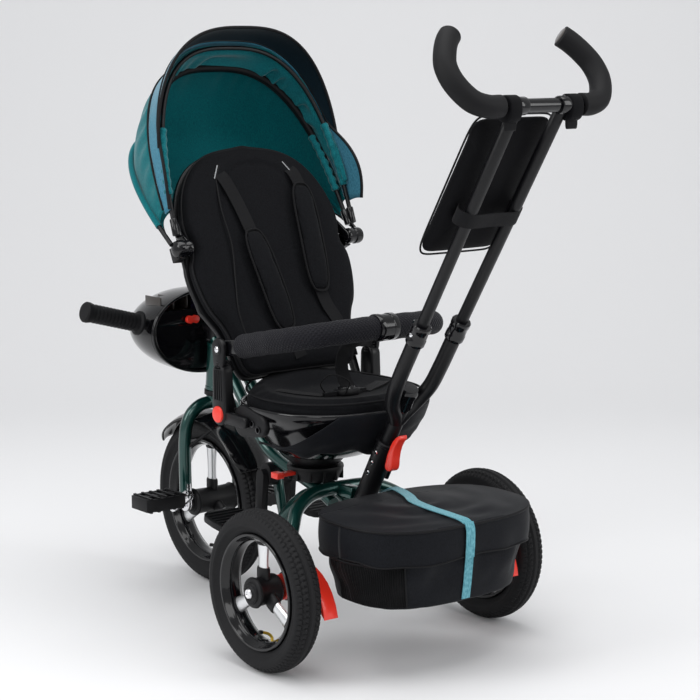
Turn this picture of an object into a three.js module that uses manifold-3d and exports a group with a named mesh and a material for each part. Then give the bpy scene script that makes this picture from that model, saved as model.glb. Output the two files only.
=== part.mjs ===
// Children's push tricycle with a reversible seat, canopy, parent handle and storage bag.
// Millimetres, +Z up, front wheel towards -Y, rider's left towards +X.
// Sub-parts are laid out with the rear axle at Y = 0; ROW_SHIFT_Y then centres the whole.
import * as THREE from 'three';
import { mergeVertices } from 'three/addons/utils/BufferGeometryUtils.js';
import Module from 'manifold-3d';

const wasm = await Module();
wasm.setup();

// ---------------------------------------------------------------- driving dimensions
const ROW_SHIFT_Y = 140.1;
const GAP = 0.5;
const SIDES = [{ name: 'left', sign: 1 }, { name: 'right', sign: -1 }];

const WHEEL_SEGMENTS = 24;
const REAR_WHEEL = { radius: 125, x: 226, y: 0, tyreDepth: 34, tyreHalf: 23, rimHalf: 19 };
const FRONT_WHEEL = { radius: 147, x: 0, y: -464, tyreDepth: 36, tyreHalf: 24, rimHalf: 20 };
const HUB_RADIUS = 24;
const REAR_AXLE_RADIUS = 6;
const FRONT_AXLE_RADIUS = 7;

const STEER_LEAN = 0.105;
const STEER_POINT = { y: -450, z: 360 };
const HEAD_TUBE = { radius: 17, bore: 13.6, bottom: 346, top: 430 };
const STEERER_RADIUS = 12;
const FORK_RADIUS = 11;
const RAIL_RADIUS = 10;
const RAIL_X = 15;
const BOW_TUBE_RADIUS = 11;

const CRANK_LENGTH = 51;
const CRANK_ANGLE = THREE.MathUtils.degToRad(30);
const PEDAL = { x: 141, width: 78, depth: 58, thick: 22, windowDepth: 16, windowWidth: 27 };

const SWIVEL_Y = -165;
const SHELL = { y: -115, halfX: 148, halfY: 135, power: 2.4 };
// [height, share of the rim's outline]
const SHELL_SCALES = [
  [286, 0.45], [300, 0.57], [320, 0.705], [340, 0.84], [357, 0.945], [372, 1],
];
const HIP = { y: -208, z: 357 };
const BACK_LEAN = THREE.MathUtils.degToRad(25);
// [height along the backrest, half width]
const BACK_WIDTHS = [
  [62, 112], [95, 122], [132, 132], [168, 154], [225, 161], [300, 158], [347, 150], [386, 133],
];
const BRACKET = { inner: 142, outer: 162, halfWidth: 18 };
const BAR_HINGE = { x: 145, y: -209, z: 462 };
const BAR_RADIUS = 19;

const CANOPY_HUB = { y: -285, z: 617 };
const CANOPY_HALF_WIDTH = 188;
const CANOPY_SQUARE = 2.8;
const CANOPY_LEANS = { visor: 12, front: 20, middle: 30, rear: 54 };
const CANOPY_LENGTHS = { visor: 358, front: 350, middle: 336, rear: 300 };
const VISOR_FLARE = 12;
const BOW_SPACING = 7;

const POST_DIR = new THREE.Vector3(0, 0.49, 0.872).normalize();
const POST_BASE = new THREE.Vector3(0, -32, 236);
const POST_RADIUS = 12.5;
const SOCKET_RADIUS = 17;
const UPPER_DIR = new THREE.Vector3(5, 210, 341).normalize();
const COLLAR_TOP = new THREE.Vector3(39.2, 144, 526);
const UPPER_RADIUS = 9.3;
const LOWER_BORE = 10.3;
const CROSSBAR_RADIUS = 10;
const FOAM_RADIUS = 16;
// Hangs in front of the upper tubes; (y, z) is a point of their centre plane.
const POUCH = { width: 156, thick: 18, top: 111, bottom: -129, y: 266, z: 735, offset: 27 };

const BAG = {
  front: 0, fold: 50, rear: 222, halfX: 168, rim: 240, bottom: 112, lidDrop: 48, cloth: 3, skirtSplit: 112,
};
const FOOT_PIVOT = { y: -272, z: 228 };

// ---------------------------------------------------------------- materials
const finish = (color, roughness, metalness) => ({ color, roughness, metalness });
const FINISHES = {
  frameGreen: finish(0x0b4a3e, 0.25, 0.6),
  glossBlack: finish(0x0b0b10, 0.15, 0),
  satinBlack: finish(0x141416, 0.45, 0.3),
  mattBlack: finish(0x1a1a1c, 0.8, 0),
  rubber: finish(0x222224, 0.85, 0),
  silver: finish(0xc8ccd2, 0.3, 0.9),
  red: finish(0xe8301f, 0.4, 0),
  cushion: finish(0x16181d, 0.95, 0),
  nylon: finish(0x14171e, 0.8, 0),
  teal: finish(0x0f5a63, 0.9, 0),
  navy: finish(0x0c1822, 0.9, 0),
};

// ---------------------------------------------------------------- solid helpers
function closed(geometry) {
  const bare = geometry.index ? geometry.toNonIndexed() : geometry.clone();
  bare.deleteAttribute('normal');
  bare.deleteAttribute('uv');
  const merged = mergeVertices(bare, 1e-3);
  const p = merged.attributes.position;
  const index = merged.index.array;
  const kept = [];
  let volume = 0;
  const corners = [new THREE.Vector3(), new THREE.Vector3(), new THREE.Vector3()];
  for (let i = 0; i < index.length; i += 3) {
    const [a, b, c] = [index[i], index[i + 1], index[i + 2]];
    if (a === b || b === c || c === a) continue;
    kept.push(a, b, c);
    corners.forEach((corner, k) => corner.fromBufferAttribute(p, index[i + k]));
    volume += corners[0].dot(corners[1].clone().cross(corners[2]));
  }
  if (volume < 0) {
    for (let i = 0; i < kept.length; i += 3) [kept[i], kept[i + 1]] = [kept[i + 1], kept[i]];
  }
  merged.setIndex(kept);
  return merged;
}

function toSolid(geometry) {
  const shell = closed(geometry);
  return new wasm.Manifold(new wasm.Mesh({
    numProp: 3,
    vertProperties: new Float32Array(shell.attributes.position.array),
    triVerts: new Uint32Array(shell.index.array),
  }));
}

function toGeometry(solid) {
  const mesh = solid.getMesh();
  const geometry = new THREE.BufferGeometry();
  geometry.setAttribute('position', new THREE.BufferAttribute(mesh.vertProperties, 3));
  geometry.setIndex(new THREE.BufferAttribute(mesh.triVerts, 1));
  return geometry;
}

function union(...geometries) {
  return toGeometry(geometries.map(toSolid).reduce((sum, next) => sum.add(next)));
}

function cut(geometry, ...tools) {
  return toGeometry(tools.map(toSolid).reduce((left, tool) => left.subtract(tool), toSolid(geometry)));
}

// ---------------------------------------------------------------- shape helpers
const V = (x, y, z) => new THREE.Vector3(x, y, z);
const mirrored = (points) => [...points, ...points.slice(0, -1).reverse().map((p) => V(-p.x, p.y, p.z))];
const onSide = (sign, points) => points.map((p) => V(sign * p.x, p.y, p.z));
const along = (start, direction, distance) => start.clone().addScaledVector(direction, distance);

function tube(points, radius, steps = 12, sides = 8) {
  const section = new THREE.Shape().absarc(0, 0, radius, 0, 2 * Math.PI);
  const path = new THREE.CatmullRomCurve3(points, false, 'centripetal');
  return new THREE.ExtrudeGeometry(section, {
    steps, extrudePath: path, bevelEnabled: false, curveSegments: sides / 2,
  });
}

function rod(from, to, radius, sides = 12, topRadius = radius) {
  const geometry = new THREE.CylinderGeometry(topRadius, radius, from.distanceTo(to), sides);
  const direction = to.clone().sub(from).normalize();
  geometry.applyQuaternion(new THREE.Quaternion().setFromUnitVectors(V(0, 1, 0), direction));
  const middle = from.clone().lerp(to, 0.5);
  return geometry.translate(middle.x, middle.y, middle.z);
}

const rodX = (x0, x1, y, z, radius, sides = 12) => rod(V(x0, y, z), V(x1, y, z), radius, sides);

function box(x0, x1, y0, y1, z0, z1) {
  const geometry = new THREE.BoxGeometry(x1 - x0, y1 - y0, z1 - z0);
  return geometry.translate((x0 + x1) / 2, (y0 + y1) / 2, (z0 + z1) / 2);
}

// A (y, z) outline extruded along X.
function plateX(outline, x0, x1) {
  const geometry = new THREE.ExtrudeGeometry(outline, { depth: x1 - x0, bevelEnabled: false, curveSegments: 5 });
  geometry.translate(0, 0, x0);
  return geometry.applyMatrix4(new THREE.Matrix4().makeBasis(V(0, 1, 0), V(0, 0, 1), V(1, 0, 0)));
}

// An (x, y) outline extruded up Z.
function plateZ(outline, z0, z1, steps = 1) {
  const geometry = new THREE.ExtrudeGeometry(outline, { depth: z1 - z0, steps, bevelEnabled: false, curveSegments: 8 });
  return geometry.translate(0, 0, z0);
}

function polygon(points) {
  return new THREE.Shape(points.map(([a, b]) => new THREE.Vector2(a, b)));
}

// Rounded oval with squarer corners as the power grows.
function superEllipse(halfA, halfB, power, centreB = 0, count = 24) {
  const points = [];
  for (let i = 0; i < count; i += 1) {
    const angle = (2 * Math.PI * i) / count;
    const c = Math.cos(angle);
    const s = Math.sin(angle);
    points.push([
      halfA * Math.sign(c) * Math.abs(c) ** (2 / power),
      centreB + halfB * Math.sign(s) * Math.abs(s) ** (2 / power),
    ]);
  }
  return polygon(points);
}

// Two round ends of different radius joined by straight sides, in the (y, z) plane.
function strap(yA, zA, radiusA, yB, zB, radiusB) {
  const angle = Math.atan2(zB - zA, yB - yA);
  const shape = new THREE.Shape();
  shape.absarc(yA, zA, radiusA, angle + Math.PI / 2, angle - Math.PI / 2);
  shape.absarc(yB, zB, radiusB, angle - Math.PI / 2, angle + Math.PI / 2);
  return shape;
}

function reshape(geometry, move) {
  const positions = geometry.attributes.position;
  const point = new THREE.Vector3();
  for (let i = 0; i < positions.count; i += 1) {
    point.fromBufferAttribute(positions, i);
    move(point);
    positions.setXYZ(i, point.x, point.y, point.z);
  }
  return geometry;
}

const tricycle = new THREE.Group();

function add(parent, name, geometry, look) {
  const mesh = new THREE.Mesh(closed(geometry), new THREE.MeshStandardMaterial(look));
  mesh.name = name;
  parent.add(mesh);
  return mesh;
}

// ---------------------------------------------------------------- wheels
// Ring turned about the X axis from a closed (radius, x) profile, with a flat facet at the bottom.
function wheelRing(profile) {
  const points = [...profile, profile[0]].map(([radius, x]) => new THREE.Vector2(radius, x));
  const geometry = new THREE.LatheGeometry(points, WHEEL_SEGMENTS, Math.PI / WHEEL_SEGMENTS);
  return geometry.rotateZ(-Math.PI / 2);
}

function tyre(wheel) {
  const r = wheel.radius / Math.cos(Math.PI / WHEEL_SEGMENTS);
  const half = wheel.tyreHalf;
  const bead = r - wheel.tyreDepth;
  return wheelRing([
    [bead, -15], [r - 18, -half], [r - 5, -half + 6], [r, -9],
    [r, 9], [r - 5, half - 6], [r - 18, half], [bead, 15],
  ]);
}

function rim(wheel) {
  const outer = wheel.radius - wheel.tyreDepth - 0.6;
  const half = wheel.rimHalf;
  return wheelRing([
    [outer, -13], [outer - 1, -half], [outer - 6, -half], [outer - 14, -10],
    [outer - 14, 10], [outer - 6, half], [outer - 1, half], [outer, 13],
  ]);
}

// Hub barrel with three oval spokes at twelve, four and eight o'clock.
function spokes(wheel, halfLength, bore) {
  const reach = (wheel.radius - wheel.tyreDepth - 15) * Math.cos(Math.PI / WHEEL_SEGMENTS) - 2 * GAP;
  const parts = [rodX(-halfLength, halfLength, 0, 0, HUB_RADIUS, 14)];
  for (let i = 0; i < 3; i += 1) {
    const spoke = new THREE.CylinderGeometry(13.5, 13.5, reach - 10, 8);
    spoke.translate(0, (reach + 10) / 2, 0).scale(0.5, 1, 1);
    spoke.rotateX(Math.PI / 2 + (i * 2 * Math.PI) / 3);
    parts.push(spoke);
  }
  return cut(union(...parts), rodX(-halfLength - 1, halfLength + 1, 0, 0, bore, 12));
}

function addWheel(prefix, wheel, x, halfLength, bore) {
  const group = new THREE.Group();
  group.position.set(x, wheel.y, wheel.radius);
  add(group, `${prefix}_tyre`, tyre(wheel), FINISHES.rubber);
  add(group, `${prefix}_rim`, rim(wheel), FINISHES.glossBlack);
  add(group, `${prefix}_spokes`, spokes(wheel, halfLength, bore), FINISHES.silver);
  tricycle.add(group);
}

addWheel('front_wheel', FRONT_WHEEL, 0, 44, FRONT_AXLE_RADIUS + 1);
for (const side of SIDES) {
  addWheel(`rear_wheel_${side.name}`, REAR_WHEEL, side.sign * REAR_WHEEL.x, 23, REAR_AXLE_RADIUS + 1);
}

// ---------------------------------------------------------------- frame
const steerAxis = V(0, STEER_LEAN, Math.sqrt(1 - STEER_LEAN ** 2));
const onSteerAxis = (z) => V(0, STEER_POINT.y + ((z - STEER_POINT.z) * steerAxis.y) / steerAxis.z, z);

function headTube() {
  const outside = rod(onSteerAxis(HEAD_TUBE.bottom), onSteerAxis(HEAD_TUBE.top), HEAD_TUBE.radius, 16);
  const bore = rod(onSteerAxis(HEAD_TUBE.bottom - 9), onSteerAxis(HEAD_TUBE.top + 9), HEAD_TUBE.bore, 16);
  return cut(outside, bore);
}

function rail(sign) {
  const x = sign * RAIL_X;
  const line = tube([
    V(x, -436, 446), V(x, -400, 406), V(x, -330, 326), V(x, -285, 277), V(x, -253, 259), V(x, -138, 226),
    V(x, -99, 210),
  ], RAIL_RADIUS, 12);
  const clearance = rod(onSteerAxis(320), onSteerAxis(470), HEAD_TUBE.radius + GAP, 16);
  const clampClearance = rod(onSteerAxis(HEAD_TUBE.top + 1), onSteerAxis(470), 21, 16);
  return cut(line, clearance, clampClearance);
}

// Rear bow over the bag's front with an end flange and a stub axle on each side.
function rearBow() {
  const arch = tube(mirrored([
    V(166, -9, 135), V(148, -40, 168), V(122, -64, 195), V(102, -81, 214), V(78, -91, 226), V(54, -97, 232),
    V(0, -100, 234),
  ]), BOW_TUBE_RADIUS, 16);
  const ends = SIDES.flatMap(({ sign }) => [
    rodX(sign * 166, sign * 178, 0, REAR_WHEEL.radius, 17),
    rodX(sign * 175, sign * 248, 0, REAR_WHEEL.radius, REAR_AXLE_RADIUS),
  ]);
  const gusset = box(-12, 12, -96, -57.5, 224, 240);
  return union(arch, gusset, ...ends);
}

// Down tube to the footrest lug.
function keelTube() {
  const line = tube([
    V(0, -150, 214), V(0, -185, 207), V(0, -215, 189), V(0, -243, 165), V(0, -256, 152),
  ], RAIL_RADIUS, 8);
  const lug = plateX(strap(FOOT_PIVOT.y, FOOT_PIVOT.z, 12, -254, 156, 8), -4, 4);
  return cut(union(line, lug), rodX(-6, 6, FOOT_PIVOT.y, FOOT_PIVOT.z, 4.8));
}

function handleSocket() {
  const sleeve = rod(along(POST_BASE, POST_DIR, -22), along(POST_BASE, POST_DIR, 108), SOCKET_RADIUS, 14);
  const bolt = (distance) => rodX(-21, 21, along(POST_BASE, POST_DIR, distance).y,
    along(POST_BASE, POST_DIR, distance).z, 4, 8);
  const outside = union(sleeve, bolt(48), bolt(68), bolt(88));
  const bore = rod(along(POST_BASE, POST_DIR, -12), along(POST_BASE, POST_DIR, 120), POST_RADIUS + 0.8, 14);
  return cut(outside, bore);
}

function brakeHub(sign) {
  return cut(rodX(sign * 178.5, sign * 186, 0, REAR_WHEEL.radius, 23, 16),
    rodX(sign * 170, sign * 200, 0, REAR_WHEEL.radius, REAR_AXLE_RADIUS + GAP));
}

// Curved foot pad on a ring round the axle.
function brakePedal(sign) {
  const z = REAR_WHEEL.radius;
  const outline = new THREE.Shape();
  outline.moveTo(0, z + 20);
  outline.quadraticCurveTo(50, z + 50, 82, z + 28);
  outline.quadraticCurveTo(108, z + 8, 112, z - 26);
  outline.quadraticCurveTo(92, z - 4, 74, z + 6);
  outline.quadraticCurveTo(40, z + 22, 0, z - 20);
  const arm = plateX(outline, 187, 197);
  const pad = new THREE.Shape();
  pad.moveTo(58, z + 40);
  pad.quadraticCurveTo(100, z + 24, 112, z - 26);
  pad.quadraticCurveTo(94, z + 12, 58, z + 26);
  const blade = plateX(pad, 171, 190);
  const whole = cut(union(rodX(187, 197, 0, z, 20, 14), arm, blade), rodX(180, 200, 0, z, REAR_AXLE_RADIUS + 1));
  return sign > 0 ? whole : whole.applyMatrix4(new THREE.Matrix4().makeScale(-1, 1, 1));
}

add(tricycle, 'head_tube', headTube(), FINISHES.frameGreen);
const headRing = cut(rod(onSteerAxis(337), onSteerAxis(HEAD_TUBE.bottom - GAP), 19, 16),
  rod(onSteerAxis(325), onSteerAxis(360), HEAD_TUBE.bore, 16));
add(tricycle, 'head_bearing_ring', headRing, FINISHES.mattBlack);
add(tricycle, 'rear_bow', rearBow(), FINISHES.frameGreen);
add(tricycle, 'keel_tube', keelTube(), FINISHES.frameGreen);
add(tricycle, 'handle_socket', handleSocket(), FINISHES.mattBlack);
for (const { name, sign } of SIDES) {
  add(tricycle, `frame_rail_${name}`, rail(sign), FINISHES.frameGreen);
  add(tricycle, `brake_hub_${name}`, brakeHub(sign), FINISHES.mattBlack);
  add(tricycle, `brake_pedal_${name}`, brakePedal(sign), FINISHES.red);
}

// Fixed lower half of the seat swivel, saddled over the two rails.
function swivelBase() {
  const dish = rod(V(0, SWIVEL_Y, 236), V(0, SWIVEL_Y, 262), 47, 18, 41);
  const saddles = SIDES.map(({ sign }) => rod(V(sign * RAIL_X, SWIVEL_Y - 60, 251.2), V(sign * RAIL_X, SWIVEL_Y + 60, 217.8),
    RAIL_RADIUS + 1.2, 12));
  const under = box(-60, 60, SWIVEL_Y - 60, SWIVEL_Y + 60, 200, 236);
  const pocket = box(30, 60, SWIVEL_Y - 9, SWIVEL_Y + 9, 246, 258);
  return cut(dish, ...saddles, under, pocket);
}
add(tricycle, 'swivel_base', swivelBase(), FINISHES.mattBlack);

function seatLockLever() {
  const blade = box(32, 78, SWIVEL_Y - 7, SWIVEL_Y + 7, 250, 256);
  return union(blade, box(70, 84, SWIVEL_Y - 9, SWIVEL_Y + 9, 248, 258));
}
add(tricycle, 'seat_lock_lever', seatLockLever(), FINISHES.red);

// ---------------------------------------------------------------- fork and steering
function fork() {
  const path = mirrored([
    V(56, -464, 164), V(56, -465, 215), V(56, -464, 262), V(53, -462, 288), V(44, -459, 308), V(26, -456, 321),
    V(0, -455, 323),
  ]);
  const axle = { y: FRONT_WHEEL.y, z: FRONT_WHEEL.radius };
  const dropouts = SIDES.map(({ sign }) => plateX(strap(axle.y, axle.z, 14, axle.y, axle.z + 32, 11),
    sign > 0 ? 51 : -60, sign > 0 ? 60 : -51));
  const steerer = rod(onSteerAxis(322), onSteerAxis(452), STEERER_RADIUS, 14);
  const crownSeat = rod(onSteerAxis(320), onSteerAxis(336), 15, 14);
  return cut(union(tube(path, FORK_RADIUS, 16), steerer, crownSeat, ...dropouts),
    rodX(-70, 70, axle.y, axle.z, FRONT_AXLE_RADIUS + 1));
}

// Crowned guard over the front tyre.
function fender() {
  const startAngle = THREE.MathUtils.degToRad(29);
  const sweep = THREE.MathUtils.degToRad(113);
  const geometry = new THREE.BoxGeometry(1, 1, 1, 4, 14, 1);
  return reshape(geometry, (p) => {
    const across = p.x * 2;
    const angle = startAngle + (p.y + 0.5) * sweep;
    const endTaper = 1 - 0.25 * Math.max(0, Math.abs(p.y * 2) - 0.8) / 0.2;
    const radius = 160 - 11 * across * across - (0.5 - p.z) * 3.5;
    p.set(33 * across * endTaper, FRONT_WHEEL.y + radius * Math.cos(angle), FRONT_WHEEL.radius + radius * Math.sin(angle));
  });
}

const BAR_Y = -500;
const BAR_MIDDLE = [V(110, BAR_Y - 0.5, 464), V(60, BAR_Y, 458), V(0, BAR_Y, 457)];
const GRIP_START = V(108, BAR_Y - 0.4, 463.5);
const GRIP_DIR = V(119, -6, 32).normalize();
const gripPoint = (sign, distance) => onSide(sign, [along(GRIP_START, GRIP_DIR, distance)])[0];

function handlebar() {
  const parts = [tube(mirrored(BAR_MIDDLE), 10, 10)];
  for (const { sign } of SIDES) {
    parts.push(rod(gripPoint(sign, -2), gripPoint(sign, 122), 10));
  }
  parts.push(rod(onSteerAxis(HEAD_TUBE.top + 5), onSteerAxis(HEAD_TUBE.top + 27), 18, 16));
  parts.push(rod(V(0, -440, 447), V(0, BAR_Y, 457), 9.5));
  return cut(union(...parts), rod(onSteerAxis(420), onSteerAxis(470), STEERER_RADIUS + GAP, 14));
}

function handlebarGrip(sign) {
  const grip = rod(gripPoint(sign, 13), gripPoint(sign, 124), 16, 14);
  const flange = rod(gripPoint(sign, 13), gripPoint(sign, 20), 21, 16);
  return cut(union(grip, flange), rod(gripPoint(sign, 5), gripPoint(sign, 122.5), 10.8));
}

// Bowl-shaped console, open at the upper rear, with a cover across its lower rear.
function consoleHousing() {
  const bowl = (grow) => new THREE.SphereGeometry(1, 20, 10).scale(112 + grow, 150 + grow, 74 + grow).translate(0, -495, 447);
  const behind = box(-200, 200, -476, -300, 300, 600);
  const shell = cut(bowl(0), bowl(-4), behind);
  const above = box(-200, 200, -700, -300, 484, 600);
  const lower = cut(bowl(-3.8), box(-200, 200, -700, -482, 300, 600), behind, above);
  const deck = cut(bowl(-3.8), behind, above, box(-200, 200, -700, -300, 300, 480));
  const barHole = tube(mirrored([V(150, -503, 475), ...BAR_MIDDLE]), 12.5, 12);
  const stemHole = rod(V(0, -440, 447), V(0, BAR_Y, 457), 11.5, 12);
  const keyHole = rod(V(34, -490, 470), V(34, -470, 470), 7, 12);
  return cut(union(shell, lower, deck), barHole, stemHole, keyHole);
}

function consoleKey() {
  const stem = rod(V(34, -486, 470), V(34, -471, 470), 5.5, 12);
  const lobes = [-6, 6].map((offset) => rod(V(34 + offset, -472.5, 470), V(34 + offset, -465, 470), 7, 14));
  return union(stem, ...lobes);
}

add(tricycle, 'fork', fork(), FINISHES.frameGreen);
add(tricycle, 'front_fender', fender(), FINISHES.glossBlack);
add(tricycle, 'handlebar', handlebar(), FINISHES.satinBlack);
add(tricycle, 'console_housing', consoleHousing(), FINISHES.glossBlack);
add(tricycle, 'console_key', consoleKey(), FINISHES.red);
for (const { name, sign } of SIDES) {
  add(tricycle, `handlebar_grip_${name}`, handlebarGrip(sign), FINISHES.mattBlack);
}

// ---------------------------------------------------------------- cranks and pedals
const crankEnd = (sign) => ({
  y: FRONT_WHEEL.y + sign * CRANK_LENGTH * Math.cos(CRANK_ANGLE),
  z: FRONT_WHEEL.radius + sign * CRANK_LENGTH * Math.sin(CRANK_ANGLE),
});

function crankshaft() {
  const parts = [rodX(-84, 84, FRONT_WHEEL.y, FRONT_WHEEL.radius, FRONT_AXLE_RADIUS)];
  for (const { sign } of SIDES) {
    const end = crankEnd(sign);
    const arm = strap(FRONT_WHEEL.y, FRONT_WHEEL.radius, 11, end.y, end.z, 9);
    parts.push(plateX(arm, sign > 0 ? 76 : -85, sign > 0 ? 85 : -76));
    parts.push(rodX(sign * 80, sign * (PEDAL.x + 34), end.y, end.z, 5));
  }
  return union(...parts);
}

function pedal(sign) {
  const end = crankEnd(sign);
  const half = PEDAL.width / 2;
  const body = reshape(new THREE.BoxGeometry(PEDAL.width, PEDAL.depth, PEDAL.thick, 4, 1, 1), (p) => {
    p.y *= Math.abs(p.x) > half - 1 ? 0.82 : 1;
  });
  const tools = [rodX(-half - 1, half - 3, 0, 0, 6)];
  for (const x of [-17, 17]) {
    for (const y of [-16, 16]) {
      const [w, d] = [PEDAL.windowWidth / 2, PEDAL.windowDepth / 2];
      tools.push(box(x - w, x + w, y - d, y + d, -PEDAL.thick, PEDAL.thick));
    }
  }
  const shape = cut(body, ...tools);
  if (sign < 0) shape.rotateZ(Math.PI);
  return shape.translate(sign * PEDAL.x, end.y, end.z);
}

add(tricycle, 'crankshaft', crankshaft(), FINISHES.silver);
for (const { name, sign } of SIDES) {
  add(tricycle, `pedal_${name}`, pedal(sign), FINISHES.mattBlack);
}

// ---------------------------------------------------------------- footrest
// Two ribbed plates on arms that fold about the lug on the keel tube.
function footrest() {
  const plate = (sign) => plateZ(superEllipse(41, 42, 3.4, 0, 16), -5, 5)
    .rotateX(THREE.MathUtils.degToRad(-10)).translate(sign * 90, -275, 158);
  const hub = (sign) => plateX(strap(FOOT_PIVOT.y, FOOT_PIVOT.z - 5, 15, FOOT_PIVOT.y, FOOT_PIVOT.z + 5, 15),
    sign > 0 ? 4.6 : -24, sign > 0 ? 24 : -4.6);
  const arm = (sign) => plateX(strap(FOOT_PIVOT.y, FOOT_PIVOT.z, 10, -278, 160, 9), sign > 0 ? 23 : -35, sign > 0 ? 35 : -23);
  const foot = (sign) => rodX(sign * 25, sign * 60, -278, 160, 7);
  const bolt = rodX(-30, 30, FOOT_PIVOT.y, FOOT_PIVOT.z, 4, 8);
  return union(...SIDES.flatMap(({ sign }) => [hub(sign), arm(sign), foot(sign), plate(sign)]), bolt);
}
add(tricycle, 'footrest', footrest(), FINISHES.mattBlack);

// ---------------------------------------------------------------- storage bag
const bagOutline = (shrink) => superEllipse(BAG.halfX - shrink, (BAG.rear - BAG.front) / 2 - shrink, 2.7,
  (BAG.front + BAG.rear) / 2, 24);

function taperBag(geometry) {
  const height = BAG.rim - BAG.bottom;
  return reshape(geometry, (p) => {
    const depth = Math.min(1, Math.max(0, (BAG.rim - p.z) / height));
    const scale = 1 - 0.13 * depth ** 1.6;
    p.x *= scale;
    p.y = BAG.rear * 0.55 + (p.y - BAG.rear * 0.55) * scale;
  });
}

// Rim skirt between two Y planes.
function skirt(rearward, y0, y1, top) {
  const band = plateZ(bagOutline(0), BAG.rim - BAG.lidDrop, top);
  const hollow = plateZ(bagOutline(BAG.cloth), BAG.rim - BAG.lidDrop - 5, rearward ? BAG.rim + 1 : top + 1);
  return cut(band, hollow, box(-200, 200, -100, y0, 100, 300), box(-200, 200, y1, 400, 100, 300));
}

// Open-topped bag; the front strip of its top is fixed and the lid folds up behind it.
function storageBag() {
  const outside = taperBag(plateZ(bagOutline(BAG.cloth + 1.5), BAG.bottom, BAG.rim, 4));
  const inside = taperBag(plateZ(bagOutline(2 * BAG.cloth + 2), BAG.bottom + 4, BAG.rim + 5, 4));
  const frontStrip = cut(plateZ(bagOutline(0), BAG.rim - 6, BAG.rim + 6),
    box(-200, 200, BAG.fold - GAP, 400, 200, 300));
  return union(cut(outside, inside), frontStrip, skirt(false, -100, BAG.skirtSplit - GAP, BAG.rim - GAP));
}

function bagLid() {
  const cap = cut(plateZ(bagOutline(0), BAG.rim + 1, BAG.rim + 6), box(-200, 200, BAG.front - 9, BAG.fold + GAP, 100, 300));
  return union(cap, skirt(true, BAG.skirtSplit + GAP, 400, BAG.rim + 6));
}
add(tricycle, 'storage_bag', storageBag(), FINISHES.nylon);
add(tricycle, 'bag_lid', bagLid(), FINISHES.nylon);

// ---------------------------------------------------------------- parent handle
function handleYoke() {
  const post = rod(along(POST_BASE, POST_DIR, -6), along(POST_BASE, POST_DIR, 176), POST_RADIUS, 14);
  const knob = rod(along(POST_BASE, POST_DIR, 178), along(POST_BASE, POST_DIR, 204), 15, 14, 17);
  const parts = [post, knob];
  const bores = [];
  for (const { sign } of SIDES) {
    const top = V(sign * COLLAR_TOP.x, COLLAR_TOP.y, COLLAR_TOP.z);
    const direction = V(sign * UPPER_DIR.x, UPPER_DIR.y, UPPER_DIR.z);
    const bend = onSide(sign, [V(5, 46, 374), V(24, 60, 396), V(35, 79, 421)]);
    parts.push(tube([...bend, along(top, direction, -85), along(top, direction, -45), top], 12, 8, 10));
    parts.push(rod(along(top, direction, -28), along(top, direction, 4), 14.5, 14));
    bores.push(rod(along(top, direction, -84), along(top, direction, 9), LOWER_BORE, 14));
  }
  return cut(union(...parts), ...bores);
}

const CROSSBAR = [
  V(118, 285, 944), V(132, 297, 928), V(141, 309, 911), V(140, 325, 889),
  V(122, 342, 865), V(95, 349, 857.5), V(0, 349, 857),
];

function handleUpper() {
  const parts = [tube(mirrored(CROSSBAR), CROSSBAR_RADIUS, 22)];
  for (const { sign } of SIDES) {
    const top = V(sign * COLLAR_TOP.x, COLLAR_TOP.y, COLLAR_TOP.z);
    const direction = V(sign * UPPER_DIR.x, UPPER_DIR.y, UPPER_DIR.z);
    parts.push(rod(along(top, direction, -40), along(top, direction, 388), UPPER_RADIUS, 12));
    parts.push(rodX(sign * 30, sign * 58, 349, 857, 13.5, 12));
  }
  return union(...parts);
}

function foamGrip(sign) {
  const line = onSide(sign, [V(106, 278, 953), ...CROSSBAR.slice(0, 5), V(76, 349, 857)]);
  const core = onSide(sign, [V(113.7, 282.5, 947.3), ...CROSSBAR.slice(1, 6), V(60, 349, 857)]);
  const stop = tube(core, CROSSBAR_RADIUS + 1.8, 12, 8);
  return cut(tube(line, FOAM_RADIUS, 12, 10), stop);
}

function releaseLever() {
  const outline = new THREE.Shape();
  outline.moveTo(-6, 2);
  outline.quadraticCurveTo(-6.5, -6, 0, -7);
  outline.quadraticCurveTo(11, -8, 12, 4);
  outline.quadraticCurveTo(10, 34, 26, 50);
  outline.lineTo(24, 56);
  outline.quadraticCurveTo(2, 46, -6, 2);
  const lever = plateX(outline, -8, 8);
  const place = along(POST_BASE, POST_DIR, 52);
  lever.rotateX(-Math.atan2(POST_DIR.y, POST_DIR.z));
  return lever.translate(0, place.y + 23, place.z - 11);
}

function handlePouch() {
  const pocket = new THREE.BoxGeometry(POUCH.width, POUCH.thick, POUCH.top - POUCH.bottom);
  pocket.translate(0, 0, (POUCH.top + POUCH.bottom) / 2);
  pocket.rotateX(-Math.atan2(UPPER_DIR.y, UPPER_DIR.z));
  const forward = POUCH.offset;
  return pocket.translate(0, POUCH.y - forward * UPPER_DIR.z, POUCH.z + forward * UPPER_DIR.y);
}

add(tricycle, 'handle_yoke', handleYoke(), FINISHES.satinBlack);
add(tricycle, 'handle_upper', handleUpper(), FINISHES.satinBlack);
add(tricycle, 'handle_release_lever', releaseLever(), FINISHES.red);
add(tricycle, 'handle_pouch', handlePouch(), FINISHES.nylon);
for (const { name, sign } of SIDES) {
  add(tricycle, `foam_grip_${name}`, foamGrip(sign), FINISHES.mattBlack);
}

// ---------------------------------------------------------------- seat

function shellScale(z) {
  const next = Math.max(1, SHELL_SCALES.findIndex(([level]) => level >= z));
  const [z0, s0] = SHELL_SCALES[next - 1];
  const [z1, s1] = SHELL_SCALES[next];
  return s0 + ((s1 - s0) * (z - z0)) / (z1 - z0);
}

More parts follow.
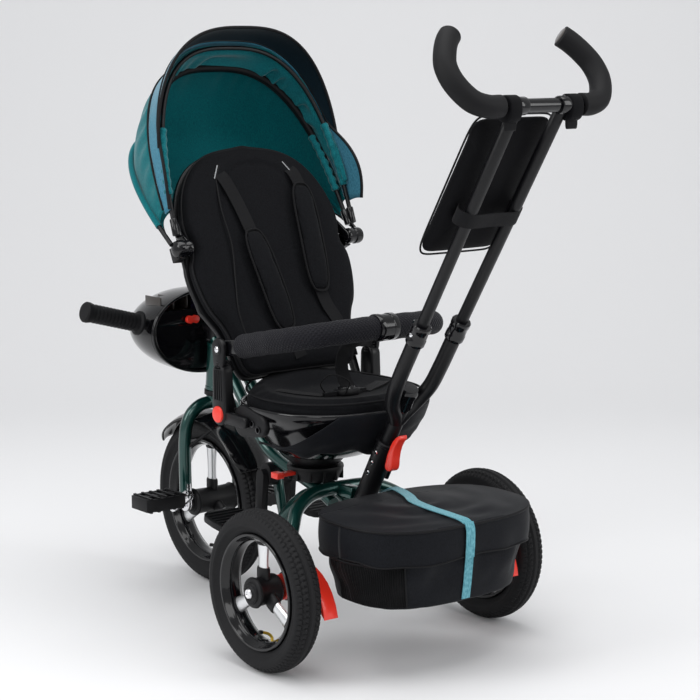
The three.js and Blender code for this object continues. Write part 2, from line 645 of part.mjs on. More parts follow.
function seatShell() {
  const levels = SHELL_SCALES.map(([z]) => z);
  const outline = superEllipse(SHELL.halfX, SHELL.halfY, SHELL.power, 0, 24);
  const block = reshape(plateZ(outline, 0, levels.length - 1, levels.length - 1), (p) => {
    const z = levels[Math.round(p.z)];
    const scale = shellScale(z);
    const centre = SWIVEL_Y + (SHELL.y - SWIVEL_Y) * scale;
    p.set(p.x * scale, centre + p.y * scale, z);
  });
  const pocket = plateZ(superEllipse(SHELL.halfX - 7, SHELL.halfY - 7, SHELL.power, SHELL.y, 24), 362, 400);
  const well = plateZ(superEllipse(SHELL.halfX - 34, SHELL.halfY - 34, SHELL.power, SHELL.y, 24), 338, 400);
  return cut(block, pocket, well);
}

function seatCushion() {
  const levels = [[363, 0.985], [374, 1], [384, 0.985], [392, 0.93], [397, 0.8]];
  const outline = superEllipse(SHELL.halfX - 8, SHELL.halfY - 8, SHELL.power, 0, 24);
  return reshape(plateZ(outline, 0, levels.length - 1, levels.length - 1), (p) => {
    const [z, scale] = levels[Math.round(p.z)];
    p.set(p.x * scale, SHELL.y + p.y * scale, z);
  });
}

// Upright bracket at the seat's side: recline pivot below, safety-bar hinge above.
function sideBracket(sign) {
  const [x0, x1] = sign > 0 ? [BRACKET.inner, BRACKET.outer] : [-BRACKET.outer, -BRACKET.inner];
  const post = plateX(strap(HIP.y, HIP.z, BRACKET.halfWidth, HIP.y - 1, 430, BRACKET.halfWidth), x0, x1);
  const cheek = plateX(strap(BAR_HINGE.y, 440, 13, BAR_HINGE.y, BAR_HINGE.z + 2, 16),
    sign > 0 ? 154 : -BRACKET.outer, sign > 0 ? BRACKET.outer : -154);
  const foot = plateX(strap(HIP.y + 10, HIP.z - 4, 10, HIP.y + 62, 352, 9), sign > 0 ? 150 : -160, sign > 0 ? 160 : -150);
  const buttonPocket = rodX(sign * 155, sign * 170, HIP.y, HIP.z, 14.3, 18);
  const notch = plateX(strap(BAR_HINGE.y, BAR_HINGE.z, 21, BAR_HINGE.y + 60, BAR_HINGE.z + 30, 30),
    sign > 0 ? 130 : -153.5, sign > 0 ? 153.5 : -130);
  return cut(union(post, cheek, foot), buttonPocket, notch);
}

const reclineButton = (sign) => union(rodX(sign * 160, sign * 165.5, HIP.y, HIP.z, 13.5, 18),
  rodX(sign * 159, sign * 162, HIP.y, HIP.z, 9, 12));

// U-shaped bar with a flattened hinge tongue at each end.
function safetyBar() {
  const padded = tube(mirrored([
    V(137, -166, 470), V(139, -120, 480), V(137, -60, 492), V(118, -14, 502), V(80, 2, 506), V(0, 8, 508),
  ]), BAR_RADIUS, 18, 10);
  const tongues = SIDES.map(({ sign }) => plateX(strap(BAR_HINGE.y, BAR_HINGE.z, 13, -158, 472, 12),
    sign > 0 ? 138 : -152, sign > 0 ? 152 : -138));
  return union(padded, ...tongues);
}

function crotchStrap() {
  const web = rod(V(0, -92, 400), V(0, -80, 452), 9, 8);
  const buckle = box(-24, 24, -94, -80, 446, 478);
  return union(web, buckle);
}

const turntable = rod(V(0, SWIVEL_Y, 263), V(0, SWIVEL_Y, 284.5), 38, 24, 58);
add(tricycle, 'seat_turntable', turntable, FINISHES.mattBlack);
add(tricycle, 'seat_shell', seatShell(), FINISHES.glossBlack);
add(tricycle, 'seat_cushion', seatCushion(), FINISHES.cushion);
add(tricycle, 'crotch_buckle', crotchStrap(), FINISHES.mattBlack);
add(tricycle, 'safety_bar', safetyBar(), FINISHES.mattBlack);
for (const { name, sign } of SIDES) {
  add(tricycle, `side_bracket_${name}`, sideBracket(sign), FINISHES.mattBlack);
  add(tricycle, `recline_button_${name}`, reclineButton(sign), FINISHES.red);
}

// ---------------------------------------------------------------- backrest
// Local axes: x across, y up the backrest, z towards the child.
const backFrame = new THREE.Matrix4().makeBasis(
  V(-1, 0, 0), V(0, -Math.sin(BACK_LEAN), Math.cos(BACK_LEAN)), V(0, Math.cos(BACK_LEAN), Math.sin(BACK_LEAN)),
).setPosition(0, HIP.y, HIP.z);

// Half widths of the backrest at heights above the recline pivot.

// The child's straps hang unevenly, so each pad has its own place and tilt.
const SHOULDER_PADS = {
  left: { across: 31, up: 199, tilt: 0.108 },
  right: { across: -74, up: 267, tilt: -0.084 },
};

function backOutline(shrink) {
  const right = BACK_WIDTHS.map(([up, half]) => [half - shrink, up + (up < 70 ? shrink : 0)]);
  const crown = [[108, 414], [72, 433], [0, 445]].map(([half, up]) => [Math.max(0, half - 0.7 * shrink), up - shrink]);
  const side = [...right, ...crown];
  return polygon([...side, ...side.slice(0, -1).reverse().map(([half, up]) => [-half, up])]);
}

const backPlate = (shrink, n0, n1, bevel) => new THREE.ExtrudeGeometry(backOutline(shrink), {
  depth: n1 - n0 - 2 * bevel,
  bevelEnabled: bevel > 0,
  bevelThickness: bevel,
  bevelSize: bevel,
  bevelSegments: 1,
  bevelOffset: -bevel,
}).translate(0, 0, n0 + bevel);

// Board with a pivot ear at each lower corner and a lug beside each canopy knuckle.
function backBoard() {
  const across = (sign, x0, x1, ...rest) => box(Math.min(sign * x0, sign * x1), Math.max(sign * x0, sign * x1), ...rest);
  const parts = [backPlate(0, 5, 12, 0)];
  for (const { sign } of SIDES) {
    parts.push(rodX(sign * 128, sign * 141, 0, 0, 9));
    parts.push(across(sign, 128, 138, -8, 78, -6, 6));
    parts.push(across(sign, 100, 138, 66, 82, -2, 12));
    parts.push(across(sign, 140, 176, 256, 280, 5, 12));
    parts.push(across(sign, 164.5, 176, 256, 280, 5, 26));
  }
  return union(...parts).applyMatrix4(backFrame);
}

add(tricycle, 'backrest_board', backBoard(), FINISHES.mattBlack);
add(tricycle, 'backrest_cushion', backPlate(2, 13, 43, 8).applyMatrix4(backFrame), FINISHES.cushion);
for (const { name, sign } of SIDES) {
  const { across, up, tilt } = SHOULDER_PADS[name];
  const pad = new THREE.BoxGeometry(44, 170, 12, 1, 3, 1).rotateZ(tilt).translate(-across, up, 52);
  add(tricycle, `shoulder_pad_${name}`, pad.applyMatrix4(backFrame), FINISHES.cushion);
}

// ---------------------------------------------------------------- canopy
// Point on a bow of half width w and height h, t running from one hub to the other.
function bowPoint(halfWidth, height, lean, t) {
  const c = Math.cos(Math.PI * t);
  const s = Math.sin(Math.PI * t);
  const x = halfWidth * Math.sign(c) * Math.abs(c) ** (2 / CANOPY_SQUARE);
  const up = height * Math.abs(s) ** (2 / CANOPY_SQUARE);
  const angle = THREE.MathUtils.degToRad(lean);
  return V(x, CANOPY_HUB.y - up * Math.sin(angle), CANOPY_HUB.z + up * Math.cos(angle));
}

// Bow tube nested inside the fabric; each bow sits one spacing further in at the hubs.
function canopyBow(which, slot, start = 0.013, turn = 0) {
  const inset = 7 + BOW_SPACING * slot;
  const span = 1 - 2 * start;
  const points = [];
  for (let i = 0; i <= 20; i += 1) {
    const t = start + (span * i) / 20;
    const lean = CANOPY_LEANS[which] + turn;
    points.push(bowPoint(CANOPY_HALF_WIDTH - inset, CANOPY_LENGTHS[which] - 12, lean, t));
  }
  return tube(points, 3.2, 18, 6);
}

// Fabric sheet through rows of [lean, length, fold] about the hubs. Its thickness runs towards the hubs
// where fold is 0, and towards smaller lean, square to the rear wall, where fold is 1.
function canopyPanel(rows, hem, thickness = 3) {
  const last = rows.length - 1;
  return reshape(new THREE.BoxGeometry(1, 1, 1, 16, last, 1), (p) => {
    const t = hem + (1 - 2 * hem) * (p.x + 0.5);
    const [lean, length, fold] = rows[Math.round((p.y + 0.5) * last)];
    const inset = (0.5 - p.z) * thickness;
    const turned = THREE.MathUtils.radToDeg((inset * Math.sqrt(fold)) / length);
    const height = length - inset * Math.sqrt(1 - fold);
    p.copy(bowPoint(CANOPY_HALF_WIDTH - inset, height, lean - turned, t));
  });
}

const bowRow = (which, offset = 0) => [CANOPY_LEANS[which] + offset, CANOPY_LENGTHS[which], 0];
const CANOPY_BACK_ROWS = [
  [CANOPY_LEANS.rear, CANOPY_LENGTHS.rear, 0.5], [61, 235, 1], [62, 175, 1], [57, 124, 1],
];
const REAR_ROWS = [bowRow('middle', 0.3), [42, 327, 0], ...CANOPY_BACK_ROWS];
const FRONT_ROWS = [bowRow('front'), bowRow('middle', -0.3)];

// Crescent peak in front of the front bow.
function canopyVisor() {
  return reshape(new THREE.BoxGeometry(1, 1, 1, 16, 1, 1), (p) => {
    const along01 = p.x + 0.5;
    const t = 0.12 + 0.76 * along01;
    const reach = (p.y + 0.5) * (0.12 + 0.88 * Math.sin(Math.PI * along01) ** 0.6);
    const lean = CANOPY_LEANS.front - 0.4 - (CANOPY_LEANS.front - CANOPY_LEANS.visor) * reach;
    const length = CANOPY_LENGTHS.front + (CANOPY_LENGTHS.visor - CANOPY_LENGTHS.front) * reach;
    const inset = (0.5 - p.z) * 3;
    p.copy(bowPoint(CANOPY_HALF_WIDTH + VISOR_FLARE * reach - inset, length - inset, lean, t));
  });
}

// Rear bow with a knuckle at each end that carries the other bows.
function rearCanopyBow() {
  const knuckles = SIDES.map(({ sign }) => rodX(sign * 164, sign * 188, CANOPY_HUB.y, CANOPY_HUB.z, 13, 16));
  return union(canopyBow('rear', 2, 0.002, -1.2), ...knuckles);
}

add(tricycle, 'canopy_bow_rear', rearCanopyBow(), FINISHES.satinBlack);
add(tricycle, 'canopy_bow_middle', canopyBow('middle', 1), FINISHES.satinBlack);
add(tricycle, 'canopy_bow_front', canopyBow('front', 0), FINISHES.satinBlack);
add(tricycle, 'canopy_panel_rear', canopyPanel(REAR_ROWS, 0.043), FINISHES.teal);
add(tricycle, 'canopy_panel_front', canopyPanel(FRONT_ROWS, 0.043), FINISHES.teal);
add(tricycle, 'canopy_visor', canopyVisor(), FINISHES.navy);

tricycle.position.y = ROW_SHIFT_Y;

export default tricycle;
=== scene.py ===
"""Looks of the children's tricycle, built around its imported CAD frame. Shapes are laid out in
millimetres from the rear axle, as the CAD source is, and row() turns them into the row frame."""
import math

import bpy
import bmesh
from mathutils import Matrix, Vector, noise


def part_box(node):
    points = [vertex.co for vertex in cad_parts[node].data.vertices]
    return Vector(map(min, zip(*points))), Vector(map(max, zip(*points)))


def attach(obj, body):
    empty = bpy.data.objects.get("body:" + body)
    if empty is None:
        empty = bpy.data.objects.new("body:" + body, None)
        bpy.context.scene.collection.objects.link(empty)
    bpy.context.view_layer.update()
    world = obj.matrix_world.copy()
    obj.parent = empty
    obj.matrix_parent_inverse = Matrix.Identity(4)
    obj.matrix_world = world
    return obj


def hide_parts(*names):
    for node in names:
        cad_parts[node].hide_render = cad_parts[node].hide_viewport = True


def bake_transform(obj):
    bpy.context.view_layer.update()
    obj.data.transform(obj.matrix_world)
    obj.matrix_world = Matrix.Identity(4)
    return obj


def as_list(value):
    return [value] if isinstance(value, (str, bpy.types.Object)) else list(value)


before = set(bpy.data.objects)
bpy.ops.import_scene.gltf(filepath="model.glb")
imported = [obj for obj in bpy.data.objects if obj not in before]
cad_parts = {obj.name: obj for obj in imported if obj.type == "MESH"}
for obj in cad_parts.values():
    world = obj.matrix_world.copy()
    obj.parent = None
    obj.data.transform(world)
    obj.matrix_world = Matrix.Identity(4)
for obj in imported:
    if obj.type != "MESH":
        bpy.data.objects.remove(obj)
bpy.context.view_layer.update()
AXLE_Y = 140.1
SIDES = (("left", 1), ("right", -1))


def row(p):
    return Vector((p[0] / 1000, (p[1] + AXLE_Y) / 1000, p[2] / 1000))


# ------------------------------------------------------------------ materials
def material(name, color, rough, metal=0.0, coat=0.0, sheen=0.0, spec=0.5):
    m = bpy.data.materials.new(name)
    m.use_nodes = True
    shader = m.node_tree.nodes["Principled BSDF"]
    for key, value in (("Base Color", (*color, 1)), ("Roughness", rough), ("Metallic", metal), ("Coat Weight", coat),
                       ("Coat Roughness", 0.06), ("Sheen Weight", sheen), ("Sheen Roughness", 0.4),
                       ("Specular IOR Level", spec)):
        shader.inputs[key].default_value = value
    return m


def coordinates(m, kind="Object"):
    source = m.node_tree.nodes.new("ShaderNodeTexCoord")
    return source.outputs[kind]


def noise_node(m, scale, detail=2.0, kind="Object", stretch=(1, 1, 1)):
    tree = m.node_tree
    mapping = tree.nodes.new("ShaderNodeMapping")
    mapping.inputs["Scale"].default_value = stretch
    tree.links.new(coordinates(m, kind), mapping.inputs["Vector"])
    n = tree.nodes.new("ShaderNodeTexNoise")
    n.inputs["Scale"].default_value = scale
    n.inputs["Detail"].default_value = detail
    tree.links.new(mapping.outputs["Vector"], n.inputs["Vector"])
    return n.outputs["Fac"]


def wave_node(m, scale, angle, kind="UV"):
    tree = m.node_tree
    mapping = tree.nodes.new("ShaderNodeMapping")
    mapping.inputs["Rotation"].default_value = (0, 0, math.radians(angle))
    tree.links.new(coordinates(m, kind), mapping.inputs["Vector"])
    w = tree.nodes.new("ShaderNodeTexWave")
    w.inputs["Scale"].default_value = scale
    tree.links.new(mapping.outputs["Vector"], w.inputs["Vector"])
    return w.outputs["Fac"]


def product(m, a, b):
    node = m.node_tree.nodes.new("ShaderNodeMath")
    node.operation = "MULTIPLY"
    m.node_tree.links.new(a, node.inputs[0])
    m.node_tree.links.new(b, node.inputs[1])
    return node.outputs[0]


def bump(m, height, distance, strength=1.0):
    tree = m.node_tree
    node = tree.nodes.new("ShaderNodeBump")
    node.inputs["Distance"].default_value = distance
    node.inputs["Strength"].default_value = strength
    tree.links.new(height, node.inputs["Height"])
    tree.links.new(node.outputs["Normal"], tree.nodes["Principled BSDF"].inputs["Normal"])
    return m


def two_tone(m, factor, dark, light, low=0.35, high=0.65):
    tree = m.node_tree
    ramp = tree.nodes.new("ShaderNodeValToRGB")
    ramp.color_ramp.elements[0].position = low
    ramp.color_ramp.elements[1].position = high
    ramp.color_ramp.elements[0].color = (*dark, 1)
    ramp.color_ramp.elements[1].color = (*light, 1)
    tree.links.new(factor, ramp.inputs["Fac"])
    tree.links.new(ramp.outputs["Color"], tree.nodes["Principled BSDF"].inputs["Base Color"])
    return m


def cloth(name, dark, light, rough=0.9, sheen=0.25, grain=1400, depth=0.00025):
    m = material(name, light, rough, sheen=sheen, spec=0.12)
    two_tone(m, noise_node(m, grain * 0.55, 3, stretch=(1, 1, 0.35)), dark, light)
    return bump(m, noise_node(m, grain, 2), depth, 0.7)


GREEN = material("frame_green_paint", (0.001, 0.045, 0.038), 0.28, metal=0.6, coat=0.8)
GLOSS = material("gloss_black_plastic", (0.003, 0.003, 0.004), 0.13, coat=0.3, spec=0.3)
SATIN = material("satin_black_tube", (0.004, 0.004, 0.005), 0.36, spec=0.3)
MATT = material("matt_black_plastic", (0.006, 0.006, 0.007), 0.48, spec=0.25)
FOAM = material("foam_black", (0.006, 0.006, 0.007), 0.62, spec=0.2)
bump(FOAM, noise_node(FOAM, 2500, 1), 0.00012, 0.5)
RUBBER = material("tyre_rubber", (0.007, 0.007, 0.008), 0.66, spec=0.25)
bump(RUBBER, noise_node(RUBBER, 900, 2), 0.0002, 0.5)
SILVER = material("spoke_silver", (0.78, 0.79, 0.80), 0.3, metal=0.85)
CHROME = material("chrome_plate", (0.86, 0.86, 0.88), 0.12, metal=1.0)
RED = material("orange_red_plastic", (0.85, 0.035, 0.018), 0.35, coat=0.3)
BRASS = material("valve_brass", (0.75, 0.5, 0.06), 0.3, metal=0.8)
INNER = material("console_inner", (0.045, 0.038, 0.034), 0.3, coat=0.4)
# Dark violet under a strong coat: a painted highlight on the bulge of the console's black rear face.
PAINTED_HIGHLIGHT_VIOLET = material("console_hump_painted_highlight", (0.012, 0.010, 0.03), 0.2, coat=0.8)
CUSHION = cloth("cushion_fabric", (0.002, 0.002, 0.003), (0.006, 0.0065, 0.008), 0.85, 0.03, 1600, 0.0002)
WEB = material("webbing", (0.005, 0.005, 0.006), 0.8, sheen=0.04, spec=0.2)
bump(WEB, wave_node(WEB, 260, 0), 0.0003, 0.6)
KNIT = material("knit_sleeve", (0.006, 0.006, 0.009), 0.75, sheen=0.05, spec=0.2)
bump(KNIT, product(KNIT, wave_node(KNIT, 70, 38), wave_node(KNIT, 70, -38)), 0.0012, 1.0)
NYLON = cloth("bag_nylon_weave", (0.003, 0.0035, 0.005), (0.007, 0.008, 0.011), 0.6, 0.04, 1500, 0.00018)
POUCH = cloth("pouch_nylon", (0.002, 0.002, 0.003), (0.004, 0.004, 0.005), 0.75, 0.02, 1500, 0.00018)
MESHED = material("pocket_mesh", (0.003, 0.003, 0.004), 0.7, spec=0.25)
bump(MESHED, wave_node(MESHED, 30, 0), 0.0015, 1.0)
TEAL = cloth("canopy_teal_heather", (0.0, 0.085, 0.105), (0.008, 0.16, 0.18), 0.85, 0.35)
LINING = cloth("canopy_lining_teal", (0.0, 0.09, 0.11), (0.001, 0.15, 0.165), 0.8, 0.25)
BLUE = cloth("canopy_blue_heather", (0.02, 0.13, 0.20), (0.05, 0.22, 0.31), 0.85, 0.4)
NAVY = cloth("visor_navy_cloth", (0.001, 0.006, 0.010), (0.002, 0.011, 0.018), 0.85, 0.15)
PIPING = material("black_piping", (0.003, 0.003, 0.004), 0.6, spec=0.2)
RIBBON = cloth("turquoise_ribbon", (0.07, 0.25, 0.31), (0.16, 0.42, 0.49), 0.85, 0.3, 900, 0.0004)
# Pale grey lines at the strap slots: painted glints on the slots' binding.
PAINTED_GLINT = material("pale_painted_glint", (0.35, 0.36, 0.37), 0.7)


# ------------------------------------------------------------------ shape helpers
def make(name, verts, faces, mat, sharp=35, uvs=None):
    """Mesh object from millimetre points. uvs is one (u, v) per vertex, in metres on the surface."""
    data = bpy.data.meshes.new(name)
    data.from_pydata([row(v) for v in verts], [], faces)
    data.materials.append(mat)
    if uvs:
        layer = data.uv_layers.new(name="UVMap")
        for loop in data.loops:
            layer.data[loop.index].uv = uvs[loop.vertex_index]
    obj = bpy.data.objects.new(name, data)
    bpy.context.scene.collection.objects.link(obj)
    clean(obj, sharp)
    return obj


def clean(obj, sharp=35):
    work = bmesh.new()
    work.from_mesh(obj.data)
    bmesh.ops.recalc_face_normals(work, faces=work.faces)
    work.to_mesh(obj.data)
    work.free()
    obj.data.shade_smooth()
    obj.data.set_sharp_from_angle(angle=math.radians(sharp))


def modified(obj, kind, **settings):
    """Adds one modifier and applies it."""
    modifier = obj.modifiers.new(kind.lower(), kind)
    for key, value in settings.items():
        setattr(modifier, key, value)
    applied(obj)
    return obj


def applied(obj):
    graph = bpy.context.evaluated_depsgraph_get()
    data = bpy.data.meshes.new_from_object(obj.evaluated_get(graph))
    obj.modifiers.clear()
    obj.data = data


def bevelled(obj, width, sharp=35, segments=2):
    modified(obj, "BEVEL", width=width / 1000, segments=segments, limit_method="ANGLE", angle_limit=math.radians(sharp))
    obj.data.shade_smooth()
    obj.data.set_sharp_from_angle(angle=math.radians(50))
    return obj


def joined(name, *objs):
    bpy.ops.object.select_all(action="DESELECT")
    for obj in objs:
        obj.select_set(True)
    bpy.context.view_layer.objects.active = objs[0]
    if len(objs) > 1:
        bpy.ops.object.join()
    objs[0].name = name
    return objs[0]


def put(obj, body, *nodes, slot=None):
    """Attaches a finished piece to a CAD body, in place of nodes."""
    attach(obj, body)
    if nodes:
        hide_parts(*nodes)
    return obj


def from_cad(name, node, mat, width=1.0, sharp=35):
    """Rounded-edge copy of a CAD node."""
    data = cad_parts[node].data.copy()
    obj = bpy.data.objects.new(name, data)
    bpy.context.scene.collection.objects.link(obj)
    data.materials.clear()
    data.materials.append(mat)
    work = bmesh.new()
    work.from_mesh(data)
    bmesh.ops.remove_doubles(work, verts=work.verts, dist=1e-5)
    bmesh.ops.dissolve_limit(work, angle_limit=math.radians(1), verts=work.verts, edges=work.edges)
    work.to_mesh(data)
    work.free()
    return bevelled(obj, width, sharp)


def spline(points, count):
    """Centripetal Catmull-Rom curve through the points, count pieces of about equal length."""
    pts = [Vector(p) for p in points]
    if len(pts) == 2:
        return [pts[0].lerp(pts[1], i / count) for i in range(count + 1)]
    pts = [2 * pts[0] - pts[1], *pts, 2 * pts[-1] - pts[-2]]
    fine = []
    for p0, p1, p2, p3 in zip(pts, pts[1:], pts[2:], pts[3:]):
        t1 = max(1e-4, (p1 - p0).length ** 0.5)
        t2 = t1 + max(1e-4, (p2 - p1).length ** 0.5)
        t3 = t2 + max(1e-4, (p3 - p2).length ** 0.5)
        for k in range(16):
            t = t1 + (t2 - t1) * k / 16
            a1 = p0 * ((t1 - t) / t1) + p1 * (t / t1)
            a2 = p1 * ((t2 - t) / (t2 - t1)) + p2 * ((t - t1) / (t2 - t1))
            a3 = p2 * ((t3 - t) / (t3 - t2)) + p3 * ((t - t2) / (t3 - t2))
            b1 = a1 * ((t2 - t) / t2) + a2 * (t / t2)
            b2 = a2 * ((t3 - t) / (t3 - t1)) + a3 * ((t - t1) / (t3 - t1))
            fine.append(b1 * ((t2 - t) / (t2 - t1)) + b2 * ((t - t1) / (t2 - t1)))
    fine.append(pts[-2])
    lengths = [0.0]
    for a, b in zip(fine, fine[1:]):
        lengths.append(lengths[-1] + (b - a).length)
    out, k = [], 0
    for i in range(count + 1):
        want = lengths[-1] * i / count
        while k < len(fine) - 2 and lengths[k + 1] < want:
            k += 1
        span = max(1e-9, lengths[k + 1] - lengths[k])
        out.append(fine[k].lerp(fine[k + 1], min(1, (want - lengths[k]) / span)))
    return out


def circle(sides):
    return [(math.cos(2 * math.pi * i / sides), math.sin(2 * math.pi * i / sides)) for i in range(sides)]


def sweep(name, points, radius, mat, sides=24, count=40, section=None, up=None, edge=0.0, closed=False):
    """A section carried along a smooth path. radius is a number or a function of the share travelled;
    up(share) fixes the section's first axis, which otherwise turns as little as it can."""
    path = spline(points, count)
    if closed:
        path = path[:-1]
    n = len(path)
    section = section or circle(sides)
    m = len(section)
    verts, faces, uvs, normal, travelled = [], [], [], None, 0.0
    for i, p in enumerate(path):
        before = path[i - 1] if i or closed else p
        after = path[(i + 1) % n] if i < n - 1 or closed else p
        tangent = (after - before).normalized()
        if up:
            normal = Vector(up(i / max(1, n - 1)))
        elif normal is None:
            normal = tangent.orthogonal()
        normal = (normal - tangent * normal.dot(tangent)).normalized()
        side = tangent.cross(normal)
        if i:
            travelled += (p - path[i - 1]).length
        r = radius(i / (n - 1)) if callable(radius) else radius
        if edge and not closed and i in (0, n - 1):
            r -= edge
        for k, (a, b) in enumerate(section):
            verts.append(p + normal * (a * r) + side * (b * r))
            around = k / m if k <= m / 2 else 1 - k / m
            uvs.append((travelled / 1000, around * 2 * math.pi * r / 1000))
    loops = n if closed else n - 1
    for i in range(loops):
        for k in range(m):
            a, b = i * m + k, i * m + (k + 1) % m
            c, d = ((i + 1) % n) * m + (k + 1) % m, ((i + 1) % n) * m + k
            faces.append((a, b, c, d))
    if not closed:
        faces.append(tuple(range(m))[::-1])
        faces.append(tuple((n - 1) * m + k for k in range(m)))
    return make(name, verts, faces, mat, 40, uvs)


def strip(name, points, width, thick, mat, up, count=40):
    """Flat webbing along a path; up(share) is its face's normal."""
    w, t = width / 2, thick / 2
    section = [(t, -w), (t, -w * 0.5), (t, 0), (t, w * 0.5), (t, w), (-t, w), (-t, 0), (-t, -w)]
    return sweep(name, points, 1.0, mat, count=count, section=section, up=up)


def lathe(name, profile, origin, axis, mat, segments=64, closed=False, sharp=35):
    """Profile of (radius, height) pairs turned about an axis. A profile that isn't closed starts and ends at radius 0."""
    axis = Vector(axis).normalized()
    e1 = axis.orthogonal().normalized()
    e2 = axis.cross(e1)
    origin = Vector(origin)
    m = len(profile)
    verts, faces = [], []
    for i in range(segments):
        angle = 2 * math.pi * i / segments
        out = e1 * math.cos(angle) + e2 * math.sin(angle)
        verts += [origin + out * r + axis * h for r, h in profile]
    for i in range(segments):
        j = (i + 1) % segments
        for k in range(m if closed else m - 1):
            l = (k + 1) % m
            faces.append((i * m + k, j * m + k, j * m + l, i * m + l))
    obj = make(name, verts, faces, mat, sharp)
    work = bmesh.new()
    work.from_mesh(obj.data)
    bmesh.ops.remove_doubles(work, verts=work.verts, dist=1e-6)
    bmesh.ops.recalc_face_normals(work, faces=work.faces)
    work.to_mesh(obj.data)
    work.free()
    obj.data.shade_smooth()
    obj.data.set_sharp_from_angle(angle=math.radians(sharp))
    return obj


def rod(name, a, b, radius, mat, segments=40, round_off=1.0):
    a, b = Vector(a), Vector(b)
    length = (b - a).length
    e = min(round_off, radius * 0.5, length * 0.4)
    profile = [(0, 0), (radius - e, 0), (radius - 0.3 * e, 0.3 * e), (radius, e), (radius, length - e),
               (radius - 0.3 * e, length - 0.3 * e), (radius - e, length), (0, length)]
    return lathe(name, profile, a, b - a, mat, segments)


def plate(name, outline, low, high, mat, origin=(0, 0, 0), axes=((1, 0, 0), (0, 1, 0), (0, 0, 1)), edge=1.0):
    """Outline extruded from low to high along the third axis, with rounded edges."""
    o = Vector(origin)
    ex, ey, ez = (Vector(a) for a in axes)
    n = len(outline)
    verts = [o + ex * a + ey * b + ez * h for h in (low, high) for a, b in outline]
    faces = [tuple(range(n))[::-1], tuple(range(n, 2 * n))]
    faces += [(i, (i + 1) % n, n + (i + 1) % n, n + i) for i in range(n)]
    return bevelled(make(name, verts, faces, mat), edge) if edge else make(name, verts, faces, mat)


def grid(name, rows, cols, place, mat, wrap=False, uv=None, sharp=50, ends=False):
    """Surface from place(i share, j share); wrap closes the columns, ends caps first and last rows."""
    verts, uvs, faces = [], [], []
    width = cols if wrap else cols + 1
    for i in range(rows + 1):
        for j in range(width):
            verts.append(place(i / rows, j / cols))
            uvs.append(uv(i / rows, j / cols) if uv else (j / cols, i / rows))
    for i in range(rows):
        for j in range(cols):
            a, b = i * width + j, i * width + (j + 1) % width
            faces.append((a, b, b + width, a + width))
    if ends:
        faces.append(tuple(range(width))[::-1])
        faces.append(tuple(rows * width + j for j in range(width)))
    return make(name, verts, faces, mat, sharp, uvs)


def thickened(obj, thickness, offset=-1.0):
    return modified(obj, "SOLIDIFY", thickness=thickness / 1000, offset=offset, use_even_offset=False)


def oval(half_a, half_b, power, count, centre=(0, 0)):
    out = []
    for i in range(count):
        angle = 2 * math.pi * i / count
        c, s = math.cos(angle), math.sin(angle)
        out.append((centre[0] + half_a * math.copysign(abs(c) ** (2 / power), c),
                    centre[1] + half_b * math.copysign(abs(s) ** (2 / power), s)))
    return out


def link_outline(ya, za, ra, yb, zb, rb, count=16):
    """Two round ends joined by straight sides, in the (y, z) plane."""
    angle = math.atan2(zb - za, yb - ya)
    first = [(ya + ra * math.cos(angle + math.pi / 2 + math.pi * i / count),
              za + ra * math.sin(angle + math.pi / 2 + math.pi * i / count)) for i in range(count + 1)]
    second = [(yb + rb * math.cos(angle - math.pi / 2 + math.pi * i / count),
               zb + rb * math.sin(angle - math.pi / 2 + math.pi * i / count)) for i in range(count + 1)]
    return first + second


YZ = ((0, 1, 0), (0, 0, 1), (1, 0, 0))


def mirrored(points):
    return [*points, *[(-x, y, z) for x, y, z in reversed(points[:-1])]]


def sided(sign, points):
    return [(sign * x, y, z) for x, y, z in points]


def wobble(p, scale, amount, seed=0.0):
    return amount * noise.noise(Vector((p[0] * scale + seed, p[1] * scale, p[2] * scale)))


# ------------------------------------------------------------------ wheels
def tyre_mesh(name, centre, radius, depth, pitches):
    """Pneumatic tyre: round carcass with slanted tread blocks and a sidewall rib."""
    core = radius - 17
    around = pitches * 4
    profile = [(depth_r, x) for depth_r, x in ((radius - depth, -15), (radius - depth, 15))]
    angles = [-2.18 + 4.36 * k / 36 for k in range(37)]

    def place(i, j):
        k = round(j * 38)
        theta = 2 * math.pi * i
        if k >= 37:
            r, x = profile[1 if k == 37 else 0]
        else:
            phi = angles[k]
            r, x = core + 17 * math.cos(phi), 23 * math.sin(phi)
            reach = abs(phi)
            if reach < 1.0:
                turn = (theta * pitches / (2 * math.pi) + 0.9 * reach) % 1
                cutting = reach > 0.2 and turn < 0.26
                ring = 0.22 < reach < 0.36 or 0.62 < reach < 0.74
                r -= 2.5 if cutting or ring else 0
            elif 1.02 < reach < 1.3:
                turn = (theta * pitches / (2 * math.pi) + 0.9 * reach) % 1
                r -= 1.5 if turn < 0.26 else 0
            elif 1.75 < reach < 1.95:
                x += math.copysign(0.8, phi)
        return (centre[0] + x, centre[1] + r * math.cos(theta), centre[2] + r * math.sin(theta))

    verts, faces = [], []
    m = 39
    for i in range(around):
        verts += [place(i / around, k / 38) for k in range(m)]
    for i in range(around):
        n = ((i + 1) % around) * m
        faces += [(i * m + k, i * m + (k + 1) % m, n + (k + 1) % m, n + k) for k in range(m)]
    return make(name, verts, faces, RUBBER, 28)


